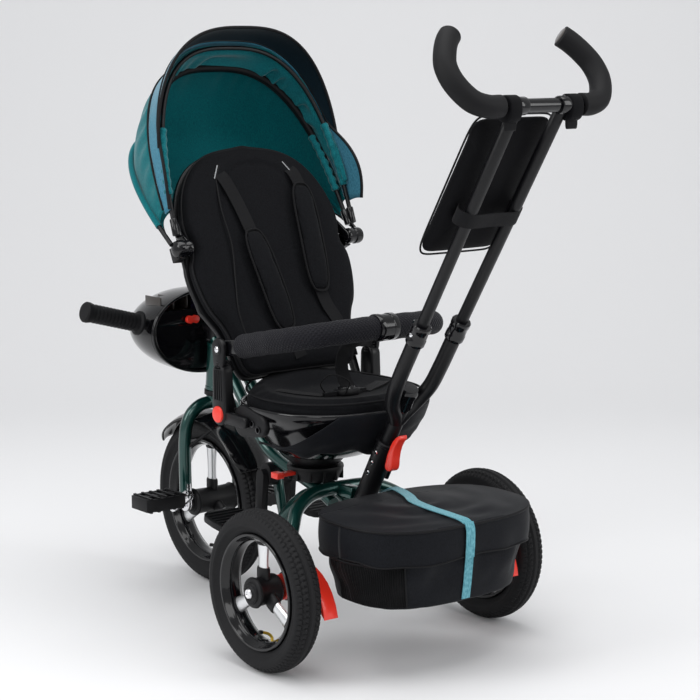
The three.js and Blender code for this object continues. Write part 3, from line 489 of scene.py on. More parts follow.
def wheel(prefix, body, centre, radius, depth, rim_half, hub_half, cap_sides, pitches):
    put(tyre_mesh(prefix + "_tyre_tread", centre, radius, depth, pitches), body, prefix + "_tyre", slot="tyre")
    outer = radius - depth - 0.6
    lip = [(outer, -13), (outer - 0.5, -rim_half + 1), (outer - 1.5, -rim_half), (outer - 4.5, -rim_half),
           (outer - 6, -rim_half + 1.2), (outer - 7, -rim_half + 4), (outer - 11, -12), (outer - 13.5, -8), (outer - 14, -3)]
    profile = lip + [(r, -x) for r, x in reversed(lip)]
    put(lathe(prefix + "_rim_dish", profile, centre, (1, 0, 0), GLOSS, 128, closed=True), body, prefix + "_rim", slot="gloss_shell")
    parts = []
    c = Vector(centre)
    inner = outer - 13.2
    for k in range(3):
        angle = math.pi / 2 + k * 2 * math.pi / 3
        out = Vector((0, math.cos(angle), math.sin(angle)))
        side = Vector((1, 0, 0))
        section = [(math.cos(t) * 6.4, math.sin(t) * 12.5) for t in [2 * math.pi * q / 32 for q in range(32)]]
        parts.append(sweep("spoke", [c + out * 20, c + out * inner], lambda s: 1 - 0.18 * math.sin(math.pi * min(1, s * 1.15)),
                           SILVER, count=12, section=section, up=lambda s: side))
        collar = [(math.cos(t) * 7.6, math.sin(t) * 13.8) for t in [2 * math.pi * q / 32 for q in range(32)]]
        parts.append(sweep("collar", [c + out * 18, c + out * 37], 1.0, MATT, count=6, section=collar, up=lambda s: side, edge=0.1))
        parts.append(sweep("foot", [c + out * (inner - 5), c + out * (inner + 1)], 1.05, MATT, count=4, section=collar,
                           up=lambda s: side, edge=0.1))
    barrel = [(0, -hub_half), (20, -hub_half), (23, -hub_half + 2), (24, -hub_half + 5), (22, -hub_half + 9), (21, 0),
              (22, hub_half - 9), (24, hub_half - 5), (23, hub_half - 2), (20, hub_half), (0, hub_half)]
    parts.append(lathe("barrel", barrel, centre, (1, 0, 0), MATT, 64))
    for sign in cap_sides:
        face = c + Vector((sign * (hub_half - 1), 0, 0))
        parts.append(lathe("cap", [(0, 0), (17, 0), (17.5, 1.5), (16.5, 3.6), (12, 4.4), (11, 3.4), (8.5, 3.2), (0, 3.2)],
                           face, (sign, 0, 0), MATT, 48))
        parts.append(lathe("nut", [(0, 0), (7.5, 0), (7.8, 3.5), (6.8, 5.2), (4.2, 5.4), (3.6, 4.2), (0, 4.2)],
                           face + Vector((sign * 3, 0, 0)), (sign, 0, 0), CHROME, 6 if sign < 0 else 24))
        for k in range(20):
            turn = 2 * math.pi * k / 20
            at = face + Vector((sign * 3.2, 14.4 * math.cos(turn), 14.4 * math.sin(turn)))
            parts.append(rod("knurl", at, at + Vector((sign * 1.4, 0, 0)), 1.1, MATT, 8, 0.3))
    put(joined(prefix + "_spokes_hub", *parts), body, prefix + "_spokes", slot="spoke_silver")
    angle = math.radians(-74)
    out = Vector((0, math.cos(angle), math.sin(angle)))
    side = Vector((cap_sides[0], 0, 0))
    foot = c + out * (inner + 0.5)
    stem = sweep("stem", [foot, foot - out * 7, foot - out * 13 + side * 5, foot - out * 17 + side * 15], 2.3, BRASS, 16, 16)
    nipple = rod("nipple", foot - out * 17 + side * 15, foot - out * 18.5 + side * 21, 3.1, MATT, 20)
    put(joined(prefix + "_valve", stem, nipple), body, slot="brass")


wheel("front_wheel", "front_wheel", (0, -464, 147), 147, 36, 20, 44, (1, -1), 100)
for side_name, side_sign in SIDES:
    wheel(f"rear_wheel_{side_name}", f"rear_wheel_{side_name}", (side_sign * 226, 0, 125), 125, 34, 19, 23, (side_sign,), 84)


# ------------------------------------------------------------------ frame
STEER = Vector((0, 0.105, math.sqrt(1 - 0.105 ** 2)))


def on_steer(z):
    return Vector((0, -450, 360)) + STEER * ((z - 360) / STEER.z)


def collar_rings(centre, axis, radius, mat):
    return lathe("ring", [(radius - 2, -3), (radius, -2), (radius, 2), (radius - 2, 3)], centre, axis, mat, 48, closed=True)


head = lathe("head", [(13.8, 0), (17, 0), (17.8, 1), (17.8, 6), (17, 7), (17, 77), (17.8, 78), (17.8, 83), (17, 84), (13.8, 84)],
             on_steer(346), STEER, GREEN, 48, closed=True)
put(head, "frame", "head_tube", slot="frame_green")
head.name = "head_tube_shell"
put(from_cad("head_race", "head_bearing_ring", MATT, 0.8), "frame", "head_bearing_ring", slot="bearing_plastic")
for side_name, side_sign in SIDES:
    x = side_sign * 15
    line = [(x, -436, 446), (x, -400, 406), (x, -330, 326), (x, -285, 277), (x, -253, 259), (x, -138, 226), (x, -99, 210)]
    line[0] = (x * 0.9, -429, 438)
    put(sweep(f"rail_tube_{side_name}", line, 10, GREEN, 32, 70), "frame", f"frame_rail_{side_name}", slot="frame_green")
arch = sweep("arch", mirrored([(166, -9, 135), (148, -40, 168), (122, -64, 195), (102, -81, 214), (78, -91, 226),
                               (54, -97, 232), (0, -100, 234)]), 11, GREEN, 36, 110)
ends = []
for _, side_sign in SIDES:
    ends.append(lathe("flange", [(0, 0), (16, 0), (17, 1), (17, 11), (16, 12), (0, 12)], (side_sign * 166, 0, 125),
                      (side_sign, 0, 0), GREEN, 48))
    ends.append(rod("axle", (side_sign * 175, 0, 125), (side_sign * 247, 0, 125), 6, CHROME, 32))
gusset = plate("gusset", [(-12, 224), (12, 224), (9, 242), (-9, 242)], -96, -57.5, GREEN, (0, 0, 0),
               ((1, 0, 0), (0, 0, 1), (0, 1, 0)), 1.5)
put(joined("rear_bow_tube", arch, gusset, *ends), "frame", "rear_bow", slot="frame_green")
keel = sweep("keel", [(0, -150, 214), (0, -185, 207), (0, -215, 189), (0, -243, 165), (0, -256, 152)], 10, GREEN, 32, 40, edge=1.5)
lug = plate("lug", link_outline(-272, 228, 12, -254, 156, 8), -4, 4, GREEN, axes=YZ, edge=1.2)
put(joined("keel_tube_lug", keel, lug), "frame", "keel_tube", slot="frame_green")
for side_name, side_sign in SIDES:
    put(from_cad(f"brake_drum_{side_name}", f"brake_hub_{side_name}", MATT, 1.5), "frame", f"brake_hub_{side_name}",
        slot="bearing_plastic")
    put(from_cad(f"brake_foot_{side_name}", f"brake_pedal_{side_name}", RED, 1.6), f"brake_pedal_{side_name}",
        f"brake_pedal_{side_name}", slot="red_plastic")
dish = lathe("dish", [(0, 236), (30, 236), (38, 238), (41, 242), (46, 254), (47, 259), (46, 262), (0, 262)], (0, -165, 0),
             (0, 0, 1), MATT, 72)
ribs = [plate("rib", [(-2, 0), (2, 0), (2, 20), (-2, 20)], 40, 46.5, MATT,
              (0, -165, 240), ((-math.sin(t), math.cos(t), 0), (0, 0, 1), (math.cos(t), math.sin(t), 0)), 0.6)
        for t in [2 * math.pi * k / 12 + 0.2 for k in range(12)]]
put(joined("swivel_dish", dish, *ribs), "frame", "swivel_base", slot="bearing_plastic")
put(from_cad("lock_lever_tab", "seat_lock_lever", RED, 2), "seat_lock_lever", "seat_lock_lever", slot="red_plastic")

# ------------------------------------------------------------------ fork, fender, handlebar, console
legs = sweep("legs", mirrored([(56, -464, 164), (56, -465, 215), (56, -464, 262), (53, -462, 288), (44, -459, 308),
                               (26, -456, 321), (0, -455, 323)]), 11, GREEN, 32, 110)
steerer = rod("steerer", on_steer(322), on_steer(452), 12, GREEN)
crown = rod("crown", on_steer(320), on_steer(336), 15, GREEN)
dropouts = [plate("dropout", link_outline(-464, 147, 14, -464, 179, 11), min(side_sign * 51, side_sign * 60),
                  max(side_sign * 51, side_sign * 60), CHROME, axes=YZ, edge=1.5) for _, side_sign in SIDES]
put(joined("fork_legs", legs, steerer, crown, *dropouts), "steering", "fork", slot="frame_green")


def fender_point(i, j):
    across = 2 * j - 1
    angle = math.radians(29 + 113 * i)
    near_end = max(0.0, abs(2 * i - 1) - 0.72) / 0.28
    half = 40 * (1 - 0.3 * near_end ** 2.2)
    radius = 160 - 12 * abs(across) ** 2.4 + 1.2 * math.exp(-(across / 0.12) ** 2) - 2.5 * near_end ** 2
    return (half * across, -464 + radius * math.cos(angle), 147 + radius * math.sin(angle))


fender = thickened(grid("fender", 72, 28, fender_point, GLOSS), 3)
stays = [sweep("stay", sided(s, [(33, -464 + 150 * math.cos(1.2), 147 + 150 * math.sin(1.2)), (45, -440, 262), (52, -455, 250)]),
               3, MATT, 12, 12) for _, s in SIDES]
put(joined("front_fender_guard", fender, *stays), "steering", "front_fender", slot="gloss_shell")
BAR_MIDDLE = [(110, -500.5, 464), (60, -500, 458), (0, -500, 457)]
GRIP_DIR = Vector((119, -6, 32)).normalized()


def grip_point(sign, distance):
    p = Vector((108, -500.4, 463.5)) + GRIP_DIR * distance
    return Vector((sign * p.x, p.y, p.z))


outer_bar = [tuple(grip_point(1, 121)), tuple(grip_point(1, 60)), *BAR_MIDDLE]
bar = sweep("bar", mirrored(outer_bar), 10, SATIN, 28, 90)
clamp = rod("clamp", on_steer(435), on_steer(457), 18, SATIN, 48, 2)
stem = rod("stem", (0, -440, 447), (0, -500, 457), 9.5, SATIN)
put(joined("handlebar_tube", bar, clamp, stem), "steering", "handlebar", slot="black_tube")
for side_name, side_sign in SIDES:
    axis = grip_point(side_sign, 1) - grip_point(side_sign, 0)
    profile = [(10.6, 13), (19, 13), (21, 14.5), (21, 18), (19.5, 20), (16.5, 21)]
    for k in range(12):
        profile += [(16.2, 25 + 7.2 * k), (15.2, 27 + 7.2 * k), (15.2, 29 + 7.2 * k), (16.2, 31 + 7.2 * k)]
    profile += [(17, 114), (17.8, 117), (17.6, 122), (15.5, 124.5), (0, 125)]
    profile = [(0, 12.9)] + profile
    grip = lathe("grip", profile, grip_point(side_sign, 0), axis, FOAM, 48)
    put(grip, "steering", f"handlebar_grip_{side_name}", slot="grip_rubber")
    grip.name = f"bar_grip_{side_name}"
CONSOLE = (0, -495, 447)


def bowl_point(grow, a, b):
    """a runs from the front pole to the open rear face, b around it."""
    polar = a * 1.697
    s, c = math.sin(polar), math.cos(polar)
    around = 2 * math.pi * b
    return (CONSOLE[0] + (112 + grow) * s * math.cos(around), CONSOLE[1] - (150 + grow) * c, CONSOLE[2] + (74 + grow) * s * math.sin(around))


shell = grid("bowl", 40, 96, lambda i, j: bowl_point(0, max(i, 0.001), j), GLOSS, wrap=True)
shell = thickened(shell, 3.2)
lip_path = [bowl_point(-1.5, 1.0, k / 48) for k in range(48)]
lip = sweep("lip", lip_path + [lip_path[0]], 2.6, GLOSS, 14, 96, closed=True)


def rear_plate(name, low, high, y, mat, bulge, shrink=4):
    """Part of the console's rear face between two heights, bulging towards the rider."""
    def place(i, j):
        z = low + (high - low) * i
        reach = math.sqrt(max(0.02, 1 - ((z - CONSOLE[2]) / (74 - shrink)) ** 2)) * (112 - shrink) * 0.985
        across = 2 * j - 1
        out = bulge * (1 - across ** 2) * math.sin(math.pi * min(1, max(0, i)) ** 0.8)
        return (reach * across, y + out, z)
    return thickened(grid(name, 20, 40, place, mat), 2.5)


cover = rear_plate("cover", 379, 462, -480, GLOSS, 9)
deck = rear_plate("deck", 462, 486, -481, GLOSS, 4)
inner = rear_plate("inner", 486, 514, -530, INNER, -12)
floor_tray = thickened(grid("tray", 10, 30, lambda i, j: ((2 * j - 1) * 92 * math.sqrt(1 - 0.55 * i * i), -482 - 70 * i, 485), INNER), 2)
# The bulge above the key is coloured violet as a painted highlight.
hump = lathe("hump", [(0, -14), (18, -14), (19.5, -10), (17, 1), (10, 6), (0, 8)], (0, -486, 492), (0, 1, 0.15), PAINTED_HIGHLIGHT_VIOLET, 40)
bosses = []
for bx in (-68, -40, -12, 16, 44, 70):
    bosses.append(rod("boss", (bx, -545, 488), (bx, -520, 503), 5, INNER, 20))
    bosses.append(plate("fin", [(-1.2, 0), (1.2, 0), (1.2, 22), (-1.2, 22)], -24, 24, INNER, (bx + 14, -515, 487),
                        ((1, 0, 0), (0, 0, 1), (0, 1, 0)), 0.4))
put(joined("console_bowl", shell, lip, cover, deck, inner, floor_tray, hump, *bosses), "steering", "console_housing", slot="gloss_shell")
put(from_cad("console_switch", "console_key", RED, 1.5), "console_key", "console_key", slot="red_plastic")

# ------------------------------------------------------------------ cranks, pedals, footrest
put(from_cad("crank_arms", "crankshaft", CHROME, 1.2), "cranks", "crankshaft", slot="chrome")
for side_name, side_sign in SIDES:
    low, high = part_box(f"pedal_{side_name}")
    body = from_cad("pedal_body", f"pedal_{side_name}", MATT, 1.5)
    treads = []
    for k in range(5):
        x = low.x + (high.x - low.x) * (k + 0.5) / 5
        bars = bpy.data.meshes.new("bar")
        for z in (low.z - 0.0008, high.z + 0.0008):
            cube = bmesh.new()
            bmesh.ops.create_cube(cube, size=1, matrix=Matrix.Translation((x, (low.y + high.y) / 2, z)) @ Matrix.Diagonal(
                (0.0045, (high.y - low.y) * 0.94, 0.0022, 1)))
            cube.to_mesh(bars)
            cube.free()
            obj = bpy.data.objects.new("bar", bars.copy())
            bpy.context.scene.collection.objects.link(obj)
            obj.data.materials.append(MATT)
            treads.append(obj)
    put(joined(f"pedal_block_{side_name}", body, *treads), f"pedal_{side_name}", f"pedal_{side_name}", slot="bearing_plastic")
rest = from_cad("rest", "footrest", MATT, 1.6)
tilt = math.radians(-10)
ridges = []
for _, side_sign in SIDES:
    for k in range(7):
        offset = -30 + 10 * k
        width = 36 * (1 - (offset / 42) ** 4) ** 0.25
        ridges.append(sweep("ridge", [(side_sign * 90 - width, -275 + offset * math.cos(tilt), 163.4 + offset * math.sin(tilt)),
                                      (side_sign * 90 + width, -275 + offset * math.cos(tilt), 163.4 + offset * math.sin(tilt))],
                            1.7, MATT, 12, 4))
put(joined("footrest_plates", rest, *ridges), "footrest", "footrest", slot="bearing_plastic")

# ------------------------------------------------------------------ soft goods
def puffed(obj, limit, voxel=0.005, pressure=4.0, remesh=True):
    """Fills a closed cloth shape with air, keeping each point within limit millimetres of where it was."""
    if remesh:
        modified(obj, "REMESH", mode="VOXEL", voxel_size=voxel)
    start = [v.co.copy() for v in obj.data.vertices]
    cloth_modifier = obj.modifiers.new("cloth", "CLOTH")
    settings = cloth_modifier.settings
    settings.quality = 3
    settings.use_pressure = True
    settings.uniform_pressure_force = pressure
    settings.effector_weights.gravity = 0
    settings.tension_stiffness = 25
    settings.compression_stiffness = 12
    settings.bending_stiffness = 1.2
    settings.mass = 0.25
    cloth_modifier.collision_settings.use_collision = False
    cloth_modifier.point_cache.frame_start = 1
    cloth_modifier.point_cache.frame_end = 20
    for number in range(1, 21):
        bpy.context.scene.frame_set(number)
    applied(obj)
    bpy.context.scene.frame_set(1)
    for vertex, before in zip(obj.data.vertices, start):
        move = vertex.co - before
        if move.length > limit / 1000:
            vertex.co = before + move * (limit / 1000 / move.length)
    modified(obj, "SMOOTH", iterations=4, factor=0.5)
    modified(obj, "SUBSURF", levels=1)
    clean(obj, 60)
    return obj


def coated(obj, mat):
    obj.data.materials.clear()
    obj.data.materials.append(mat)
    return obj


# ------------------------------------------------------------------ seat
SHELL_RINGS = [(0.03, 285), (0.42, 285), (0.47, 286.5), (0.5, 290), (0.6, 300), (0.67, 310), (0.725, 320), (0.79, 330),
               (0.84, 340), (0.895, 349), (0.948, 358), (0.99, 366), (1.0, 372), (1.0, 376), (0.988, 378.5), (0.965, 377.5),
               (0.955, 372), (0.95, 364), (0.5, 362), (0.03, 362)]


def seat_ring(scale, z, share, grow=0.0):
    angle = 2 * math.pi * share
    c, s = math.cos(angle), math.sin(angle)
    return ((148 * scale + grow) * math.copysign(abs(c) ** (2 / 2.4), c),
            -165 + 50 * scale + (135 * scale + grow) * math.copysign(abs(s) ** (2 / 2.4), s), z)


def shell_point(i, j):
    scale, z = SHELL_RINGS[round(i * (len(SHELL_RINGS) - 1))]
    return seat_ring(scale, z, j)


shell = grid("shell", len(SHELL_RINGS) - 1, 120, shell_point, GLOSS, wrap=True, ends=True)
modified(shell, "SUBSURF", levels=1)
clean(shell, 60)
locks = []
for _, s in SIDES:
    locks.append(plate("lock", [(p[0], p[1]) for p in link_outline(-158, 352, 26, -116, 350, 18, 20)], min(s * 139, s * 150),
                       max(s * 139, s * 150), MATT, axes=YZ, edge=3))
    for y, z in ((-132, 352), (-116, 344)):
        locks.append(lathe("hole", [(0, 0), (3, 0), (5.5, 0), (6, 1.6), (4, 2), (3, -1)], (s * 150, y, z), (s, 0, 0), GLOSS, 24))
put(joined("seat_bucket", shell, *locks), "seat", "seat_shell", slot="gloss_shell")


def seat_skirt(i, j):
    share = -0.03 + 0.505 * j
    rise = min(1.0, max(0.0, (j - 0.14) / 0.25))
    top = 318 + 58 * rise ** 1.4
    hem = 309 + 5 * math.sin(j * 19) + 3 * math.sin(j * 41 + 1)
    z = top + (hem - top) * i
    scale = 1.0 + 0.004 - 0.17 * ((376 - z) / 60) ** 1.5 if z < 376 else 1.004
    fold = 2.2 * math.sin(j * 31 + 2.5 * i) * i + wobble((j * 9, i * 3, 0), 1.3, 2.5, 7)
    return seat_ring(scale, z, share, 2.2 + fold * i)


skirt = thickened(grid("seat_skirt_cloth", 26, 110, seat_skirt, NYLON, sharp=70), 1.2)
put(skirt, "seat", slot="cushion_cloth")
put(from_cad("swivel_turntable", "seat_turntable", MATT, 1.5), "seat", "seat_turntable", slot="bearing_plastic")
CUSHION_RINGS = [(0.02, 364), (0.6, 364), (0.95, 364.5), (0.99, 369), (1.0, 376), (0.995, 384), (0.97, 390.5), (0.93, 393.5),
                 (0.86, 393), (0.74, 390), (0.6, 387), (0.45, 385), (0.3, 384), (0.15, 383.5), (0.02, 383.5)]


def cushion_point(i, j):
    scale, z = CUSHION_RINGS[round(i * (len(CUSHION_RINGS) - 1))]
    angle = 2 * math.pi * j
    c, s = math.cos(angle), math.sin(angle)
    back = (6 + 12 * max(0.0, -s) ** 3) * max(0.0, -s) * (scale > 0.5) * (z > 385)
    return (140 * scale * math.copysign(abs(c) ** (2 / 2.4), c),
            -115 + 127 * scale * math.copysign(abs(s) ** (2 / 2.4), s), z + back)


cushion = grid("seat_pad", len(CUSHION_RINGS) - 1, 96, cushion_point, CUSHION, wrap=True, ends=True)
coated(puffed(cushion, 6, 0.0045), CUSHION)
put(cushion, "seat", "seat_cushion", slot="cushion_cloth")


def cushion_edge(scale, z, share):
    angle = 2 * math.pi * share
    c, s = math.cos(angle), math.sin(angle)
    return (140 * scale * math.copysign(abs(c) ** (2 / 2.4), c), -115 + 127 * scale * math.copysign(abs(s) ** (2 / 2.4), s),
            z + (6 + 12 * max(0.0, -s) ** 3) * max(0.0, -s))


rim = [cushion_edge(0.985, 392.0, k / 64) for k in range(65)]
put(sweep("seat_pad_piping", rim, 2.0, PIPING, 12, 140, closed=True), "seat", slot="cushion_cloth")
seam = [cushion_edge(0.62, 389.4, k / 48) for k in range(49)]
put(sweep("seat_pad_seam", seam, 1.3, PIPING, 8, 110, closed=True), "seat", slot="cushion_cloth")
UP = Vector((0, 0, 1))


def lying(*_):
    return UP


web = strip("crotch_web", [(0, -58, 391), (4, -72, 402), (10, -82, 430), (14, -70, 462), (12, -30, 486), (4, -12, 487)], 24, 1.6, WEB,
            lambda s: (0.1, 1, 0.3), 50)
tongue = plate("tongue", oval(20, 16, 3, 32), -5, 5, MATT, (8, -72, 396), ((1, 0.1, 0), (-0.1, 1, 0.1), (0, -0.1, 1)), 2)
clip = plate("clip", oval(13, 11, 3, 24), -3, 8.5, GLOSS, (8, -72, 396), ((1, 0.1, 0), (-0.1, 1, 0.1), (0, -0.1, 1)), 1.5)
prongs = [sweep("prong", [(8 + 20 * s, -74, 396), (8 + 40 * s, -80, 394)], 1.0, MATT, count=4,
                section=[(-3, -6), (3, -6), (3, 6), (-3, 6)], up=lying) for s in (-1, 1)]
put(joined("crotch_web_buckle", web, tongue, clip, *prongs), "seat", "crotch_buckle", slot="strap_web")
hips = [strip("hip", [(98, -165, 388), (92, -150, 396), (70, -118, 394), (46, -84, 392)], 22, 1.6, WEB, lying, 30),
        strip("hip", [(-104, -120, 388), (-96, -108, 396), (-70, -92, 396), (-34, -80, 392)], 22, 1.6, WEB, lying, 30),
        sweep("loop", [(40, -84, 393), (62, -70, 415), (58, -46, 432), (34, -34, 420), (26, -52, 398)], 1.2, WEB, 10, 40)]
# The pale lines at the seat's strap slots are painted glints.
glints = [rod("glint", (-118 + 4 * k, -92 + 22 * k, 396.5), (-98 + 4 * k, -88 + 22 * k, 396.5), 1.0, PAINTED_GLINT, 8, 0.3) for k in (0, 1)]
glints.append(rod("glint", (40, -22, 394.5), (60, -28, 394.5), 1.0, PAINTED_GLINT, 8, 0.3))
put(joined("hip_straps", *hips, *glints), "seat", slot="strap_web")
for side_name, s in SIDES:
    x0, x1 = sorted((s * 142, s * 162))
    post = plate("post", link_outline(-208, 357, 18, -209, 424, 15.5, 24), x0, x1, SATIN, axes=YZ, edge=3.5)
    cheek = plate("cheek", link_outline(-209, 440, 13, -209, 464, 16, 24), *sorted((s * 154, s * 162)), SATIN, axes=YZ, edge=2)
    neck = [lathe("neck", [(0, 0), (10.5, 0), (11.5, 1.2), (10.5, 2.6), (0, 2.6)], (s * 152, -209, 428 + 4.2 * k), (0, 0, 1), SATIN, 32)
            for k in range(4)]
    flutes = [sweep("flute", [(s * 162.2, -208 + dy, 380), (s * 162.2, -208.6 + dy * 0.9, 428)], 1.6, SATIN, 10, 4)
              for dy in (-9, -3, 3, 9)]
    foot = plate("foot", link_outline(-198, 353, 10, -146, 352, 9, 16), *sorted((s * 150, s * 160)), SATIN, axes=YZ, edge=2)
    bolt = lathe("bolt", [(0, 0), (5.5, 0), (5.2, 2), (3.5, 3.2), (0, 3.4)], (s * 162, -209, 462), (s, 0, 0), CHROME, 24)
    ring = lathe("ring", [(0, 0), (9, 0), (9.3, 0.8), (7.5, 1.4), (0, 1.4)], (s * 162, -209, 462), (s, 0, 0), SATIN, 32)
    put(joined(f"bar_bracket_{side_name}", post, cheek, foot, bolt, ring, *neck, *flutes), "seat", f"side_bracket_{side_name}",
        slot="bearing_plastic")
    button = lathe("button", [(0, 0), (13.5, 0), (13.5, 3.6), (12.6, 5.0), (8, 5.9), (0, 6.2)], (s * 160, -208, 357), (s, 0, 0), RED, 56)
    button.name = f"recline_cap_{side_name}"
    put(button, f"recline_button_{side_name}", f"recline_button_{side_name}", slot="red_plastic")
BAR = mirrored([(136, -178, 467.5), (139, -120, 480), (137, -60, 492), (118, -14, 502), (80, 2, 506), (0, 8, 508)])


def bar_radius(share):
    rounding = min(1.0, min(share, 1 - share) / 0.012)
    return 19 * (0.8 + 0.2 * math.sqrt(max(0.0, 1 - (1 - rounding) ** 2))) + 0.35 * math.sin(share * 90)


sleeve = sweep("bar_sleeve", BAR, bar_radius, KNIT, 36, 150)
put(sleeve, "safety_bar", slot="foam")
tongues = [plate("tongue", link_outline(-209, 462, 13, -158, 472, 12, 20), *sorted((s * 138, s * 152)), GLOSS, axes=YZ, edge=2.5)
           for _, s in SIDES]
ring = lathe("ring", [(17, -18.5), (20.6, -18.5), (21.4, -17), (21.4, -9), (20.4, -8), (20.4, 8), (21.4, 9), (21.4, 17), (20.6, 18.5),
                      (17, 18.5)], (0, 8, 508), (1, 0, 0), GLOSS, 56, closed=True)
put(joined("bar_ends_and_ring", ring, *tongues), "safety_bar", "safety_bar", slot="gloss_shell")

# ------------------------------------------------------------------ backrest
LEAN = math.radians(25)
OUTWARD = Vector((0, math.cos(LEAN), math.sin(LEAN)))


def back(x, up, out):
    return Vector((x, -208 - up * math.sin(LEAN) + out * math.cos(LEAN), 357 + up * math.cos(LEAN) + out * math.sin(LEAN)))


BACK_SIDE = [(108, 50), (121, 92), (132, 132), (150, 165), (161, 215), (160, 244), (152, 262), (154, 280), (158, 302), (151, 347),
             (133, 386), (108, 414), (72, 433), (0, 445)]
BACK_LINE = spline([(x, u, 0) for x, u in [(0, 47), (60, 47), *BACK_SIDE]], 90)
BACK_RING = [(p.x, p.y) for p in BACK_LINE] + [(-p.x, p.y) for p in reversed(BACK_LINE[1:-1])]
BACK_CENTRE = (0, 250)


def inner_oval(x, up):
    """Distance in millimetres outside the oval seam, negative inside."""
    dx, dy = (x + 3) / 88, (up - 258) / 148
    r = (abs(dx) ** 2.5 + abs(dy) ** 2.5) ** 0.4
    return (r - 1) * 100


BACK_EDGE = [(0.955 + 0.045 * math.sin(a), 23 + 20 * math.cos(a)) for a in [math.radians(d) for d in (15, 35, 52, 68, 82, 90)]]
BACK_ROWS = [("top", k / 44 * 0.955) for k in range(1, 45)] + [("edge", k) for k in range(6)]
BACK_ROWS += [("flat", q) for q in ((1.0, 18), (0.985, 14), (0.95, 13), (0.5, 13), (0.02, 13))]


def pad_point(i, j):
    kind, value = BACK_ROWS[round(i * (len(BACK_ROWS) - 1))]
    x, up = BACK_RING[round(j * len(BACK_RING)) % len(BACK_RING)]
    q, out = (value, None) if kind == "top" else (BACK_EDGE[value] if kind == "edge" else value)
    x = BACK_CENTRE[0] + (x * 0.988 - BACK_CENTRE[0]) * q
    up = BACK_CENTRE[1] + ((up - BACK_CENTRE[1]) * 0.992) * q
    if out is None:
        d = inner_oval(x, up)
        inside = 1 / (1 + math.exp(d / 2.5))
        crown = 2.5 * (1 - q ** 2)
        out = 42.4 - 3.2 * inside + crown * inside - 3.0 * math.exp(-((d - 1) / 2.6) ** 2)
        side = 1 / (1 + math.exp(-(abs(x) - 112) / 9))
        out += 2.0 * side * math.sin(math.pi * min(1, max(0, (up - 80) / 330)))
    return back(x, up, out)


pad = grid("back_pad", len(BACK_ROWS) - 1, len(BACK_RING), pad_point, CUSHION, wrap=True, ends=True)
coated(puffed(pad, 2.5, remesh=False, pressure=1.5), CUSHION)
put(pad, "backrest", "backrest_cushion", slot="cushion_cloth")
board = from_cad("board", "backrest_board", SATIN, 1.2)
AXES_BACK = (Vector((1, 0, 0)), Vector((0, -math.sin(LEAN), math.cos(LEAN))), OUTWARD)
skin = plate("skin", [(x * 1.004, u) for x, u in BACK_RING], 4.5, 12.6, SATIN, (0, -208, 357), AXES_BACK, 1.8)
put(joined("back_board", board, skin), "backrest", "backrest_board", slot="bearing_plastic")
edge_line = [back(x * 0.985, 250 + (u - 250) * 0.985, 30) for x, u in BACK_RING[::3]]
put(sweep("back_pad_piping", [*edge_line, edge_line[0]], 1.9, PIPING, 10, 220, closed=True), "backrest", slot="cushion_cloth")


def oval_at(share, grow=0.0):
    angle = 2 * math.pi * share
    c, s = math.cos(angle), math.sin(angle)
    return back(-3 + (88 + grow) * math.copysign(abs(c) ** 0.8, c), 258 + (148 + grow) * math.copysign(abs(s) ** 0.8, s), 40.6)


put(sweep("back_pad_oval_seam", [oval_at(k / 60) for k in range(61)], 1.15, PIPING, 8, 200, closed=True), "backrest", slot="cushion_cloth")


def shoulder_pad(name, top, foot, width, out, node):
    """Padded sleeve between two points of the backrest, with piping round its edge."""
    a, b = Vector((*top, 0)), Vector((*foot, 0))
    middle, length = (a + b) / 2, (a - b).length
    ey = (a - b).normalized()
    ex = Vector((ey.y, -ey.x, 0))
    ring = oval(width / 2, length / 2, 3.4, 72)
    rows = [(0.02, 5.5), (0.35, 5.6), (0.62, 5.4), (0.82, 4.6), (0.93, 3.0), (0.99, 1.0), (1.0, -0.6), (0.97, -2.6), (0.9, -4),
            (0.5, -4.4), (0.02, -4.4)]

    def place(i, j):
        q, n = rows[round(i * (len(rows) - 1))]
        u, v = ring[round(j * 72) % 72]
        p = middle + ex * (u * q) + ey * (v * q)
        bow = 2.5 * math.sin(math.pi * (v * q / length + 0.5))
        return back(p.x, p.y, out + n + bow)

    body = grid(name, len(rows) - 1, 72, place, CUSHION, wrap=True, ends=True)
    coated(puffed(body, 5, 0.004), CUSHION)
    put(body, "backrest", node, slot="cushion_cloth")
    border = []
    for u, v in ring:
        p = middle + ex * u + ey * v
        border.append(back(p.x, p.y, out + 1.0 + 2.5 * math.sin(math.pi * (v / length + 0.5))))
    put(sweep(name + "_piping", [*border, border[0]], 1.7, WEB, 10, 150, closed=True), "backrest", slot="strap_web")


shoulder_pad("shoulder_sleeve_left", (41, 288), (22, 112), 45, 52.5, "shoulder_pad_left")
shoulder_pad("shoulder_sleeve_right", (-83, 364), (-66, 172), 45, 52.5, "shoulder_pad_right")


def facing(*_):
    return OUTWARD


